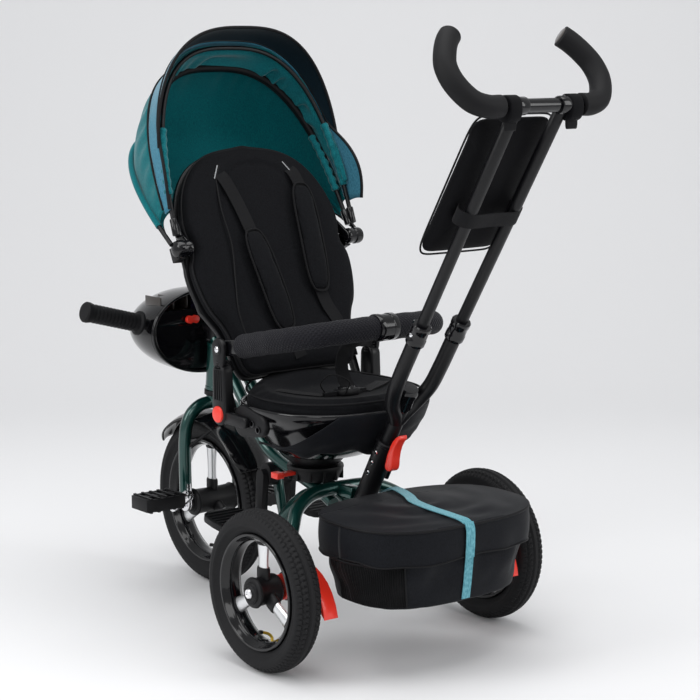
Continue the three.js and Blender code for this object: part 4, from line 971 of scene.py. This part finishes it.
straps = [
    strip("web", [back(71, 396, 40), back(66, 384, 47), back(52, 344, 48), back(43, 300, 50), back(40, 276, 52)], 24, 1.6, WEB, facing, 40),
    strip("web", [back(-75, 398, 40), back(-78, 388, 47), back(-82, 370, 50), back(-82, 352, 52)], 24, 1.6, WEB, facing, 20),
    strip("web", [back(23, 122, 50), back(16, 100, 47), back(8, 82, 46), back(4, 66, 44)], 24, 1.6, WEB, facing, 24),
    strip("web", [back(-67, 182, 50), back(-74, 150, 48), back(-88, 118, 47), back(-90, 92, 45), back(-84, 68, 42)], 24, 1.6, WEB, facing, 30),
    sweep("cord", [back(76, 392, 43), back(86, 330, 48), back(84, 266, 47.5), (back(96, 200, 47)), back(104, 150, 46), back(98, 88, 44)],
          1.6, PIPING, 10, 70),
]
for x, up, turn in ((72, 394, -0.5), (-75, 396, 0.6)):
    along = Vector((math.sin(turn), math.cos(turn), 0))
    ends = [Vector((x, up, 0)) + along * d for d in (-13, 13)]
    straps.append(sweep("slot", [back(e.x, e.y, 42.5) for e in ends], 1.0, PIPING, count=6,
                        section=[(2.4 * math.cos(t), 4.2 * math.sin(t)) for t in [k * math.pi / 8 for k in range(16)]], up=facing))
    # The pale line beside each slot is a painted glint.
    straps.append(sweep("glint", [back(e.x + 3, e.y, 45.2) for e in ends], 0.9, PAINTED_GLINT, 8, 6))
put(joined("harness_webbing", *straps), "backrest", slot="strap_web")

# ------------------------------------------------------------------ canopy
HUB = Vector((0, -285, 617))


def bow(t, lean, length, half=188.0):
    c, s = math.cos(math.pi * t), math.sin(math.pi * t)
    up = length * abs(s) ** (2 / 2.8)
    a = math.radians(lean)
    return Vector((half * math.copysign(abs(c) ** (2 / 2.8), c), HUB.y - up * math.sin(a), HUB.z + up * math.cos(a)))


def smooth(low, high, value):
    q = min(1.0, max(0.0, (value - low) / (high - low)))
    return q * q * (3 - 2 * q)


def front_lean(t):
    """Lean of the roof's front edge: its side flaps reach forward near the hubs."""
    return 20 - 26 * smooth(0.84, 0.965, t) - 6 * smooth(0.16, 0.04, t)


def tubes(name, lean, length, half, start=0.012, radius=3.8):
    return sweep(name, [bow(start + (1 - 2 * start) * k / 40, lean, length, half) for k in range(41)], radius, SATIN, 18, 120)


LINING_ROWS = spline([(30.3, 336, 0), (38, 331, 0), (46, 319, 0), (54, 297, 0), (58.5, 262, 0), (61, 232, 0), (62, 178, 0), (57, 124, 0)], 60)


def lining_point(i, j):
    lean, length, _ = LINING_ROWS[round(i * 60)]
    t = 0.035 + 0.93 * j
    sag = 6 * smooth(0.0, 0.2, i) * smooth(0.5, 0.3, i)
    p = bow(t, lean, length - sag)
    wall = smooth(0.3, 0.6, i)
    dent = wobble(p, 0.009, 22, 3) + wobble(p, 0.024, 6, 11)
    p.y += wall * dent * math.sin(math.pi * j)
    creases = 1.6 * math.sin(j * 120 + 4 * math.sin(j * 9)) * math.exp(-((i - 0.02) / 0.06) ** 2)
    sway = wobble(p, 0.012, 7, 21) * math.sin(math.pi * min(1, i * 2))
    return p + (HUB - p).normalized() * (creases + sway)


def bridged(obj, a, b, start, end, *nodes, slot="canopy_teal"):
    """Cloth between body a at one hoop's top and body b at the next one's: its transform is baked into the mesh and the
    nodes it replaces are hidden. a and b are not used.
    """
    row(bow(0.5, *start))
    row(bow(0.5, *end))
    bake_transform(obj)
    if nodes:
        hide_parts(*nodes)
    return obj


REAR_SPAN = ("backrest", "canopy_middle", (54, 300), (30, 336))
ROOF_SPAN = ("canopy_middle", "canopy_front", (29.8, 337), (20, 351))
lining = thickened(grid("canopy_rear_cloth", 60, 150, lining_point, LINING, sharp=75), 1.4)
bridged(lining, *REAR_SPAN, "canopy_panel_rear")


def skin_point(i, j):
    t = 0.03 + 0.94 * j
    lean = front_lean(t) + (29.8 - front_lean(t)) * i
    length = 351 + (337 - 351) * i - 2.5 * math.sin(math.pi * i)
    p = bow(t, lean, length)
    return p + (HUB - p).normalized() * wobble(p, 0.02, 1.6, 5)


skin = thickened(grid("canopy_roof_cloth", 24, 160, skin_point, BLUE, sharp=75), 1.2)


def ruffle_point(i, j):
    t = 0.055 + 0.89 * j
    lean = front_lean(t) * 0.3 + 20 * 0.7 + 9.6 * i
    depth = 5 + 6 * smooth(0.0, 0.3, i)
    gather = smooth(0.2, 0.75, i)
    ripple = math.sin(j * 96 + 6 * math.sin(j * 17) + 4 * i) * (0.55 + 0.45 * math.sin(j * 37 + 2))
    p = bow(t, lean + 0.9 * gather * ripple, 350 - 14 * i - depth, 188 - depth * 0.8)
    fold = 6.0 * gather * ripple + 3.0 * (1 - gather) * math.sin(j * 31 + 2 * math.sin(j * 8))
    return p + (HUB - p).normalized() * fold


ruffle = thickened(grid("canopy_gathered_lining", 26, 420, ruffle_point, TEAL, sharp=80), 0.8)
bridged(skin, *ROOF_SPAN, "canopy_panel_front")
bridged(ruffle, *ROOF_SPAN)


def ridge_line(name, lean, length, half, start, radius, mat, body, flap=False):
    points = []
    for k in range(61):
        t = start + (1 - 2 * start) * k / 60
        points.append(bow(t, front_lean(t) if flap else lean, length, half))
    line = sweep(name, points, radius, mat, 12, 180)
    return put(line, body, slot="strap_web") if isinstance(body, str) else bridged(line, *body, slot="strap_web")


ridge_line("canopy_front_piping", 20, 352, 189, 0.03, 2.6, PIPING, ROOF_SPAN, flap=True)
ridge_line("canopy_middle_binding", 29.2, 325, 176, 0.05, 5.5, PIPING, "canopy_middle")
ridge_line("canopy_roof_seam", 30.2, 338, 189, 0.035, 1.7, PIPING, REAR_SPAN)
ridge_line("canopy_lower_piping", 57, 124, 188, 0.035, 1.8, PIPING, "backrest")
put(tubes("canopy_rear_channel", 54, 300.5, 190, 0.03, 5.2), "backrest", slot="canopy_teal").data.materials[0] = LINING


def visor_point(i, j, grow=0.0):
    t = 0.115 + 0.77 * j
    reach = i * (0.1 + 0.9 * max(0.0, math.sin(math.pi * j)) ** 0.6)
    lean = 19.7 - 8 * reach
    bulge = 3.0 * math.sin(math.pi * i)
    return bow(t, lean, 350.5 + 8 * reach + bulge + grow, 188.3 + 16 * reach + grow)


def outer_visor(i, j):
    return visor_point(i, j, 1.2)


visor_lining = thickened(grid("canopy_visor_lining", 20, 120, visor_point, NAVY, sharp=75), 1.0)
visor_cover = thickened(grid("canopy_visor_cover", 20, 120, outer_visor, BLUE, sharp=75), 1.0)
rim_line = [visor_point(1, k / 60, 0.5) for k in range(61)]
put(visor_lining, "canopy_front", "canopy_visor", slot="visor_navy")
put(visor_cover, "canopy_front", slot="canopy_teal")
put(sweep("canopy_visor_rim", rim_line, 2.6, PIPING, 12, 140), "canopy_front", slot="strap_web")
HOOPS = ["canopy_front_hoop", "canopy_middle_hoop", "canopy_rear_hoop_knuckles"]
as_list(HOOPS[1:])
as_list(HOOPS[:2])
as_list(HOOPS[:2])
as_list(HOOPS[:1])
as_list(HOOPS[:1])
put(tubes("canopy_front_hoop", 20, 338, 181), "canopy_front", "canopy_bow_front", slot="black_tube")
put(tubes("canopy_middle_hoop", 30, 324, 174), "canopy_middle", "canopy_bow_middle", slot="black_tube")
for body, lean, length, half in (("canopy_front", 20, 338, 181), ("canopy_middle", 29.6, 324, 174)):
    sleeves = []
    for low, high in ((0.05, 0.16), (0.84, 0.95)):
        points = [bow(low + (high - low) * k / 10, lean, length, half) for k in range(11)]
        sleeves.append(sweep("sleeve", points, lambda s: 6.6 + 0.7 * math.sin(s * 40), TEAL, 18, 40, edge=1.4))
    put(joined(f"{body}_hoop_sleeves", *sleeves), body, slot="canopy_teal")
knuckles = [tubes("hoop", 54, 300.5, 190, 0.003)]
for _, s in SIDES:
    knuckles.append(lathe("knuckle", [(0, 0), (11, 0), (13, 1.5), (13.5, 6), (12.6, 8), (12.6, 14), (14.2, 16), (14.2, 24), (12.5, 28.5),
                                      (7, 31), (0, 31.5)], (s * 160, HUB.y, HUB.z), (s, 0, 0), GLOSS, 48))
    knuckles.append(plate("arm", link_outline(HUB.y, HUB.z, 9, HUB.y - 36, HUB.z + 22, 7, 14), *sorted((s * 158, s * 164)), GLOSS,
                          axes=YZ, edge=2))
    for lean, length, half in ((20, 338, 181), (30, 324, 174)):
        root, tip = bow(0.5 - s * 0.493, lean, length, half), bow(0.5 - s * 0.478, lean, length, half)
        knuckles.append(rod("socket", root, tip, 6.2, GLOSS, 24, 1.5))
put(joined("canopy_rear_hoop_knuckles", *knuckles), "backrest", "canopy_bow_rear", slot="black_tube")

# ------------------------------------------------------------------ storage bag
BAG_Y, BAG_RIM, BAG_FLOOR = 111.0, 240.0, 112.0


def bag_outline(angle, grow=0.0):
    c, s = math.cos(angle), math.sin(angle)
    return ((168 + grow) * math.copysign(abs(c) ** (2 / 2.7), c), BAG_Y + (111 + grow) * math.copysign(abs(s) ** (2 / 2.7), s))


def bag_wall(share, z, grow=0.0):
    """Point of the bag's side wall at a share of the way round, with the cloth's creases."""
    angle = 2 * math.pi * share
    depth = min(1.0, max(0.0, (BAG_RIM - z) / (BAG_RIM - BAG_FLOOR)))
    x, y = bag_outline(angle, -4.5 + grow)
    scale = 1 - 0.13 * depth ** 1.6
    slack = math.sin(math.pi * min(1, depth * 1.15)) if depth < 0.87 else 0.0
    crease = wobble((x, y, z * 1.6), 0.014, 12, 4) + wobble((x, y, z * 0.7), 0.04, 4, 9)
    crease += 3.2 * math.sin(share * 44 + 0.05 * z + 2 * math.sin(share * 15)) * slack
    grow_now = crease * slack
    return Vector((x * scale + grow_now * math.cos(angle), 122.1 + (y - 122.1) * scale + grow_now * math.sin(angle), z))


def bag_body(i, j):
    if i <= 0.72:
        return bag_wall(j, 238.5 - (238.5 - BAG_FLOOR - 5) * i / 0.72)
    q = (i - 0.72) / 0.28
    edge = bag_wall(j, BAG_FLOOR + 5)
    keep = max(0.02, 1 - q)
    sag = 5 * math.sin(math.pi * min(1, q * 4) / 2)
    return Vector((edge.x * keep, 122 + (edge.y - 122) * keep, BAG_FLOOR + 5 - sag + wobble((edge.x * keep, edge.y * keep, 3), 0.03, 2)))


body_cloth = thickened(grid("bag_cloth", 56, 180, bag_body, NYLON, wrap=True, sharp=75), 1.3)
front_rim = []
for share in [k / 30 for k in range(31)]:
    front_rim.append(bag_wall(share, 238))


def cap_point(i, j):
    """The lid's top from its middle out, then its skirt down to the hem."""
    angle = 2 * math.pi * j
    if i < 0.5:
        q = max(0.01, i / 0.5)
        x, y = bag_outline(angle)
        dome = 4.5 * (1 - q ** 2.2) + wobble((x * q, y * q, 0), 0.018, 4.0, 6) * (1 - q ** 6)
        tilt = 1.0 - 3.0 * max(0.0, (BAG_Y + (y - BAG_Y) * q - 60) / 160) ** 2
        return Vector((x * q, BAG_Y + (y - BAG_Y) * q, 241.5 + dome + tilt))
    q = (i - 0.5) / 0.5
    flare = 1.2 + 2.2 * math.sin(math.pi * q) + 1.2 * math.sin(j * 70 + 1.5 * math.sin(j * 23)) * q
    x, y = bag_outline(angle, flare)
    edge = 242.5 - 3.0 * max(0.0, (y - 60) / 160) ** 2
    hem = 187.5 + 2.2 * math.sin(j * 25 + 1) + 1.5 * math.sin(j * 57)
    return Vector((x, y, edge + (hem - edge) * q))


def keep_part(obj, rules):
    """Deletes the faces whose middle, in millimetres, breaks a rule."""
    work = bmesh.new()
    work.from_mesh(obj.data)
    gone = []
    for face in work.faces:
        c = face.calc_center_median() * 1000
        if not rules(c.x, c.y - AXLE_Y, c.z):
            gone.append(face)
    bmesh.ops.delete(work, geom=gone, context="FACES")
    work.to_mesh(obj.data)
    work.free()
    return obj


def cap_piece(name, rules, cuts):
    sheet = grid(name, 64, 220, cap_point, NYLON, wrap=True, sharp=75)
    work = bmesh.new()
    work.from_mesh(sheet.data)
    for y in cuts:
        geometry = [*work.verts, *work.edges, *work.faces]
        bmesh.ops.bisect_plane(work, geom=geometry, plane_co=row((0, y, 0)), plane_no=(0, 1, 0))
    work.to_mesh(sheet.data)
    work.free()
    return thickened(keep_part(sheet, rules), 1.2)


def fixed_cap(x, y, z):
    return y < 50 or (y < 112 and z < 239.3)


def lid_cap(x, y, z):
    return (y > 50 and z > 239.3) or (y > 112)


fixed = cap_piece("bag_fixed_cover", fixed_cap, (50, 112))
put(joined("bag_body", body_cloth, fixed), "frame", "storage_bag", slot="bag_nylon")
lid = cap_piece("bag_lid_cover", lid_cap, (50, 112))
put(lid, "bag_lid", "bag_lid", slot="bag_nylon")
rim_rear, rim_front, hem_rear, hem_front = [], [], [], []
for k in range(181):
    share = k / 180
    top, hem = cap_point(0.52, share), cap_point(1.0, share)
    (rim_rear if top.y > 50 else rim_front).append(top)
    (hem_rear if hem.y > 112 else hem_front).append(hem)


def ordered(points, y_sign):
    """Piping points in order along x, going round the rear or the front."""
    middle = Vector((0, 50 if y_sign > 0 else 112, 0))
    return sorted(points, key=lambda p: math.atan2(y_sign * (p.y - middle.y) + 1e-3, p.x))


for name, points, sign, body, radius in (("bag_lid_piping", rim_rear, 1, "bag_lid", 2.2), ("bag_cover_piping", rim_front, -1, "frame", 2.2),
                                         ("bag_lid_hem", hem_rear, 1, "bag_lid", 1.5), ("bag_cover_hem", hem_front, -1, "frame", 1.5)):
    put(sweep(name, ordered(points, sign)[::3], radius, PIPING, 10, 150), body, slot="strap_web")


def upward(share):
    return (0, 0.02, 1) if share < 0.96 else (0, 1, 0.3)


ribbon_top = [cap_point(0.5 * q, 0.25) for q in (0.97,)]
ribbon = strip("ribbon", [(-26, 2, 248.5), (-24, 20, 248.5), (-8, 62, 249), (10, 96, 249.5), (18, 142, 249), (16, 190, 246.5),
                          (13, 214, 243.5), (12.5, 221, 240.5)], 17, 1.4, RIBBON, lambda s: (0, 0.05 + 0.9 * smooth(0.9, 1.0, s), 1), 70)
hang = strip("hang", [(12.5, 223.5, 242), (12.5, 227.5, 232), (12.5, 228, 212), (12.5, 226.5, 188)], 17, 1.4, RIBBON,
             lambda s: (0, 1, 0.1), 30)
put(joined("bag_lid_ribbon", ribbon, hang), "bag_lid", slot="turquoise_ribbon")
lead = strip("ribbon", [(-32, -30, 235), (-29, -12, 242), (-27, -2, 246.5)], 17, 1.4, RIBBON, lambda s: (0, -0.4, 1), 20)
drop_line = [bag_wall(0.249, z) + Vector((0, 1.6, 0)) for z in (196, 185, 172, 158, 145, 132, 120)]
drop = strip("drop", drop_line, 16, 1.2, RIBBON, lambda s: (0, 1, 0.1), 40)
put(joined("bag_ribbon", lead, drop), "frame", slot="turquoise_ribbon")


def pocket_point(i, j):
    share = -0.02 + 0.16 * j
    z = 186 - 66 * i
    out = 2.5 + 6 * math.sin(math.pi * j) * (1 - 0.8 * i) + 0.8 * math.sin(j * 190)
    return bag_wall(share, z, out)


pocket = thickened(grid("pocket", 40, 240, pocket_point, MESHED, sharp=75), 1.0)
band = sweep("band", [pocket_point(0, k / 12) for k in range(13)], 2.4, PIPING, 10, 40)
sides = [sweep("band", [pocket_point(k / 8, j) for k in range(9)], 1.5, PIPING, 8, 30) for j in (0, 1)]
put(joined("bag_mesh_pocket", pocket, band, *sides), "frame", slot="bag_nylon")

# ------------------------------------------------------------------ parent handle
POST_DIR = Vector((0, 0.49, 0.872)).normalized()
UPPER_DIR = Vector((5, 210, 341)).normalized()
COLLAR = Vector((39.2, 144, 526))


def on_post(z):
    return Vector((0, -32, 236)) + POST_DIR * z


socket = lathe("socket", [(0, -22), (15.5, -22), (17, -20.5), (17, 102), (18.5, 103.5), (18.5, 108), (17, 109.5), (12.6, 109.5), (0, 109)],
               on_post(0), POST_DIR, SATIN, 48)
studs = []
for d in (48, 68, 88):
    for _, s in SIDES:
        studs.append(lathe("stud", [(0, 0), (4.6, 0), (4.4, 2.2), (2.8, 3.8), (0, 4.2)], on_post(d) + Vector((s * 16.6, 0, 0)), (s, 0, 0),
                           CHROME, 24))
put(joined("handle_sleeve", from_cad("socket_mount", "handle_socket", SATIN, 1.0), socket, *studs), "frame", "handle_socket",
    slot="black_tube")
post = [rod("post", on_post(-6), on_post(178), 12.5, SATIN, 40)]
post.append(lathe("knob", [(0, 172), (13, 172), (14.6, 174), (15.5, 182), (15, 190), (15.8, 198), (16.8, 204), (17, 209), (14.5, 213),
                           (0, 214)], on_post(0), POST_DIR, GLOSS, 48))
for _, s in SIDES:
    top = Vector((s * COLLAR.x, COLLAR.y, COLLAR.z))
    direction = Vector((s * UPPER_DIR.x, UPPER_DIR.y, UPPER_DIR.z))
    path = [(s * 2, 42, 366), (s * 10, 50, 379), (s * 24, 60, 396), (s * 35, 79, 421), top - direction * 85, top - direction * 45,
            top + direction * 6]
    post.append(sweep("arm", path, 12, SATIN, 32, 60))
    post.append(lathe("collar", [(12, -30), (14.2, -30), (15.2, -28), (15.2, -19), (14.3, -17.5), (14.3, -4), (15.2, -2.5), (15.2, 4),
                                 (13.6, 6), (9.5, 6.4), (9.5, -29)], top, direction, GLOSS, 48, closed=True))
    post.append(lathe("stud", [(0, 0), (3.4, 0), (3.2, 1.6), (0, 2.4)], top - direction * 12 + Vector((s * 14, 0, 0)), (s, 0, 0), CHROME, 20))
put(joined("handle_lower_tubes", *post), "handle_lower", "handle_yoke", slot="black_tube")
CROSS = [(118, 285, 944), (132, 297, 928), (141, 309, 911), (140, 325, 889), (122, 342, 865), (95, 349, 857.5), (0, 349, 857)]
upper = []
for _, s in SIDES:
    top = Vector((s * COLLAR.x, COLLAR.y, COLLAR.z))
    direction = Vector((s * UPPER_DIR.x, UPPER_DIR.y, UPPER_DIR.z))
    upper.append(rod("tube", top - direction * 40, top + direction * 388, 9.3, SATIN, 36))
middle = sweep("middle", [(-96, 349, 857), (-40, 349, 857), (40, 349, 857), (96, 349, 857)], 10.2, GLOSS, 32, 30)
loops = sweep("core", mirrored(CROSS), 9, SATIN, 24, 140)
joints = [lathe("clip", [(9.6, -13), (12.2, -13), (13, -11), (13, 11), (12.2, 13), (9.6, 13)], (s * 45.1, 350, 857), (1, 0, 0), GLOSS, 40,
                closed=True) for _, s in SIDES]
put(joined("handle_upper_frame", *upper, middle, loops, *joints), "handle_upper", "handle_upper", slot="black_tube")
for side_name, s in SIDES:
    line = sided(s, [(106, 278, 953), *CROSS[:5], (98, 348.6, 857.2), (80, 349, 857), (76, 349, 857)])
    grip = sweep(f"foam_sleeve_{side_name}", line, lambda q: 16.2 - 3.2 * max(0.0, 1 - min(q, 1 - q) / 0.008) ** 2, FOAM, 36, 130)
    disc = lathe("disc", [(0, -1), (12, -1), (12.5, 0.4), (11, 1.2), (0, 1.3)], (s * 106, 278, 953), (-s * 12, -7, 9), INNER, 32)
    put(joined(f"foam_grip_sleeve_{side_name}", grip, disc), "handle_upper", f"foam_grip_{side_name}", slot="foam")
hoops = []
for _, s in SIDES:
    low, high = sorted((s * 48, s * 70))
    hoops.append(plate("loop", oval(15.5, 19, 2.3, 40, (349, 853.5)), low, high, POUCH, axes=YZ, edge=2.2))
    hoops.append(plate("tab", oval(3.0, 15, 3, 24, (350, 838)), low + 1, high - 1, WEB, axes=YZ, edge=1.2))
put(joined("handle_fabric_loops", *hoops), "handle_upper", slot="strap_web")
PIVOT = Vector((0, 16.5, 270.3))
raised = Matrix.Translation(row(PIVOT + POST_DIR * 24)) @ Matrix.Rotation(math.radians(24), 4, "X")
lever = from_cad("tab", "handle_release_lever", RED, 1.6)
lever.data.transform(raised @ Matrix.Translation(-row(PIVOT)))
link = rod("link", PIVOT, PIVOT + POST_DIR * 30, 4, SATIN, 20)
put(joined("handle_lever", lever, link), "handle_release_lever", "handle_release_lever", slot="red_plastic")
POUCH_TURN = math.atan2(UPPER_DIR.y, UPPER_DIR.z)
POUCH_UP = Vector((0, math.sin(POUCH_TURN), math.cos(POUCH_TURN)))
POUCH_OUT = Vector((0, -math.cos(POUCH_TURN), math.sin(POUCH_TURN)))
POUCH_AT = Vector((0, 266 - 27 * UPPER_DIR.z, 735 + 27 * UPPER_DIR.y))


def on_pouch(x, up, out):
    return POUCH_AT + Vector((x, 0, 0)) + POUCH_UP * (up - 9) + POUCH_OUT * out


POUCH_ROWS = [(0.02, 9.4), (0.3, 9.2), (0.6, 8.6), (0.8, 7.8), (0.92, 6.4), (0.98, 4.0), (1.0, 0), (0.98, -4.0), (0.92, -6.4), (0.8, -7.8),
              (0.6, -8.6), (0.3, -9.2), (0.02, -9.4)]
POUCH_RING = oval(78, 120, 9, 120)


def pouch_point(i, j):
    q, out = POUCH_ROWS[round(i * 12)]
    x, up = POUCH_RING[round(j * 120) % 120]
    sag = wobble((x * q, up * q, out), 0.02, 2.2, 8)
    return on_pouch(x * q, up * q, out + sag * (1 - q))


pouch = grid("handle_pouch_bag", 12, 120, pouch_point, POUCH, wrap=True, ends=True)
coated(puffed(pouch, 5, remesh=False), POUCH)
put(pouch, "handle_upper", "handle_pouch", slot="bag_nylon")
strap_line = []
for x, out in ((-46, -8), (-60, -26), (-48, -40), (0, -41), (48, -40), (60, -26), (46, -8)):
    strap_line.append(on_pouch(x, -33, out))
trims = [sweep("belt", strap_line, 1.0, WEB, count=60, section=[(-12, -0.8), (12, -0.8), (12, 0.8), (-12, 0.8)], up=lambda s: POUCH_UP)]
zip_line = [on_pouch(x, -76 + 0.03 * x, -10.2 + 0.0004 * x * x) for x in (-50, -25, 0, 25, 50)]
trims.append(sweep("zip", zip_line, 1.3, CHROME, 10, 50))
seam_line = [on_pouch(a, b, 0) for a, b in oval(78.5, 120.5, 9, 90)]
trims.append(sweep("edge", [*seam_line, seam_line[0]], 1.5, PIPING, 10, 220, closed=True))
put(joined("handle_pouch_trim", *trims), "handle_upper", slot="strap_web")

# ------------------------------------------------------------------ stage, light and camera
FLOOR = material("studio_floor", (0.80, 0.80, 0.81), 0.75, spec=0.15)


def floor_point(i, j):
    along = i * 9000
    if along < 4600:
        return Vector((-5000 + 10000 * j, 2600 - along, 0))
    turn = min(1.0, (along - 4600) / 2200) * math.pi / 2
    rise = max(0.0, along - 6800)
    return Vector((-5000 + 10000 * j, -2000 - 1400 * math.sin(turn), 1400 * (1 - math.cos(turn)) + rise * 1.5))


backdrop = grid("studio_sweep", 60, 2, floor_point, FLOOR, sharp=80)
backdrop.rotation_euler = (0, 0, math.radians(-38.6))


def lamp(name, at, aim, size, power, tint=(1, 1, 1)):
    data = bpy.data.lights.new(name, "AREA")
    data.shape = "RECTANGLE"
    data.size, data.size_y = size
    data.energy = power
    data.color = tint
    obj = bpy.data.objects.new(name, data)
    bpy.context.scene.collection.objects.link(obj)
    obj.location = at
    obj.rotation_mode = "QUATERNION"
    obj.rotation_quaternion = (Vector(at) - Vector(aim)).to_track_quat("Z", "Y")


lamp("overhead", (0.2, 0.3, 3.0), (0, 0.2, 0.4), (2.6, 2.6), 52)
lamp("left_softbox", (2.6, -0.6, 1.9), (0, 0.2, 0.5), (1.4, 2.0), 33)
lamp("right_softbox", (-1.6, 2.8, 1.8), (0, 0.2, 0.5), (1.4, 2.0), 30)
lamp("front_softbox", (3.0, 2.2, 2.4), (0, 0.2, 0.4), (1.6, 1.6), 22)
world = bpy.data.worlds.new("studio")
world.use_nodes = True
world.node_tree.nodes["Background"].inputs["Color"].default_value = (0.86, 0.87, 0.88, 1)
world.node_tree.nodes["Background"].inputs["Strength"].default_value = 0.57
bpy.context.scene.world = world
bpy.context.scene.view_settings.view_transform = "Standard"
bpy.context.scene.view_settings.look = "None"
camera_data = bpy.data.cameras.new("photo_camera")
camera_data.sensor_width = 36
camera_data.lens = 98.54
camera_data.clip_start, camera_data.clip_end = 0.1, 40
camera = bpy.data.objects.new("photo_camera", camera_data)
bpy.context.scene.collection.objects.link(camera)
camera.rotation_mode = "QUATERNION"
camera.rotation_quaternion = Matrix(((-0.7812, -0.0983, 0.6165), (0.6243, -0.1229, 0.7715), (0.0, 0.9875, 0.1574))).to_quaternion()
camera.location = (1.874, 2.271 + AXLE_Y / 1000, 0.940)
bpy.context.scene.camera = camera
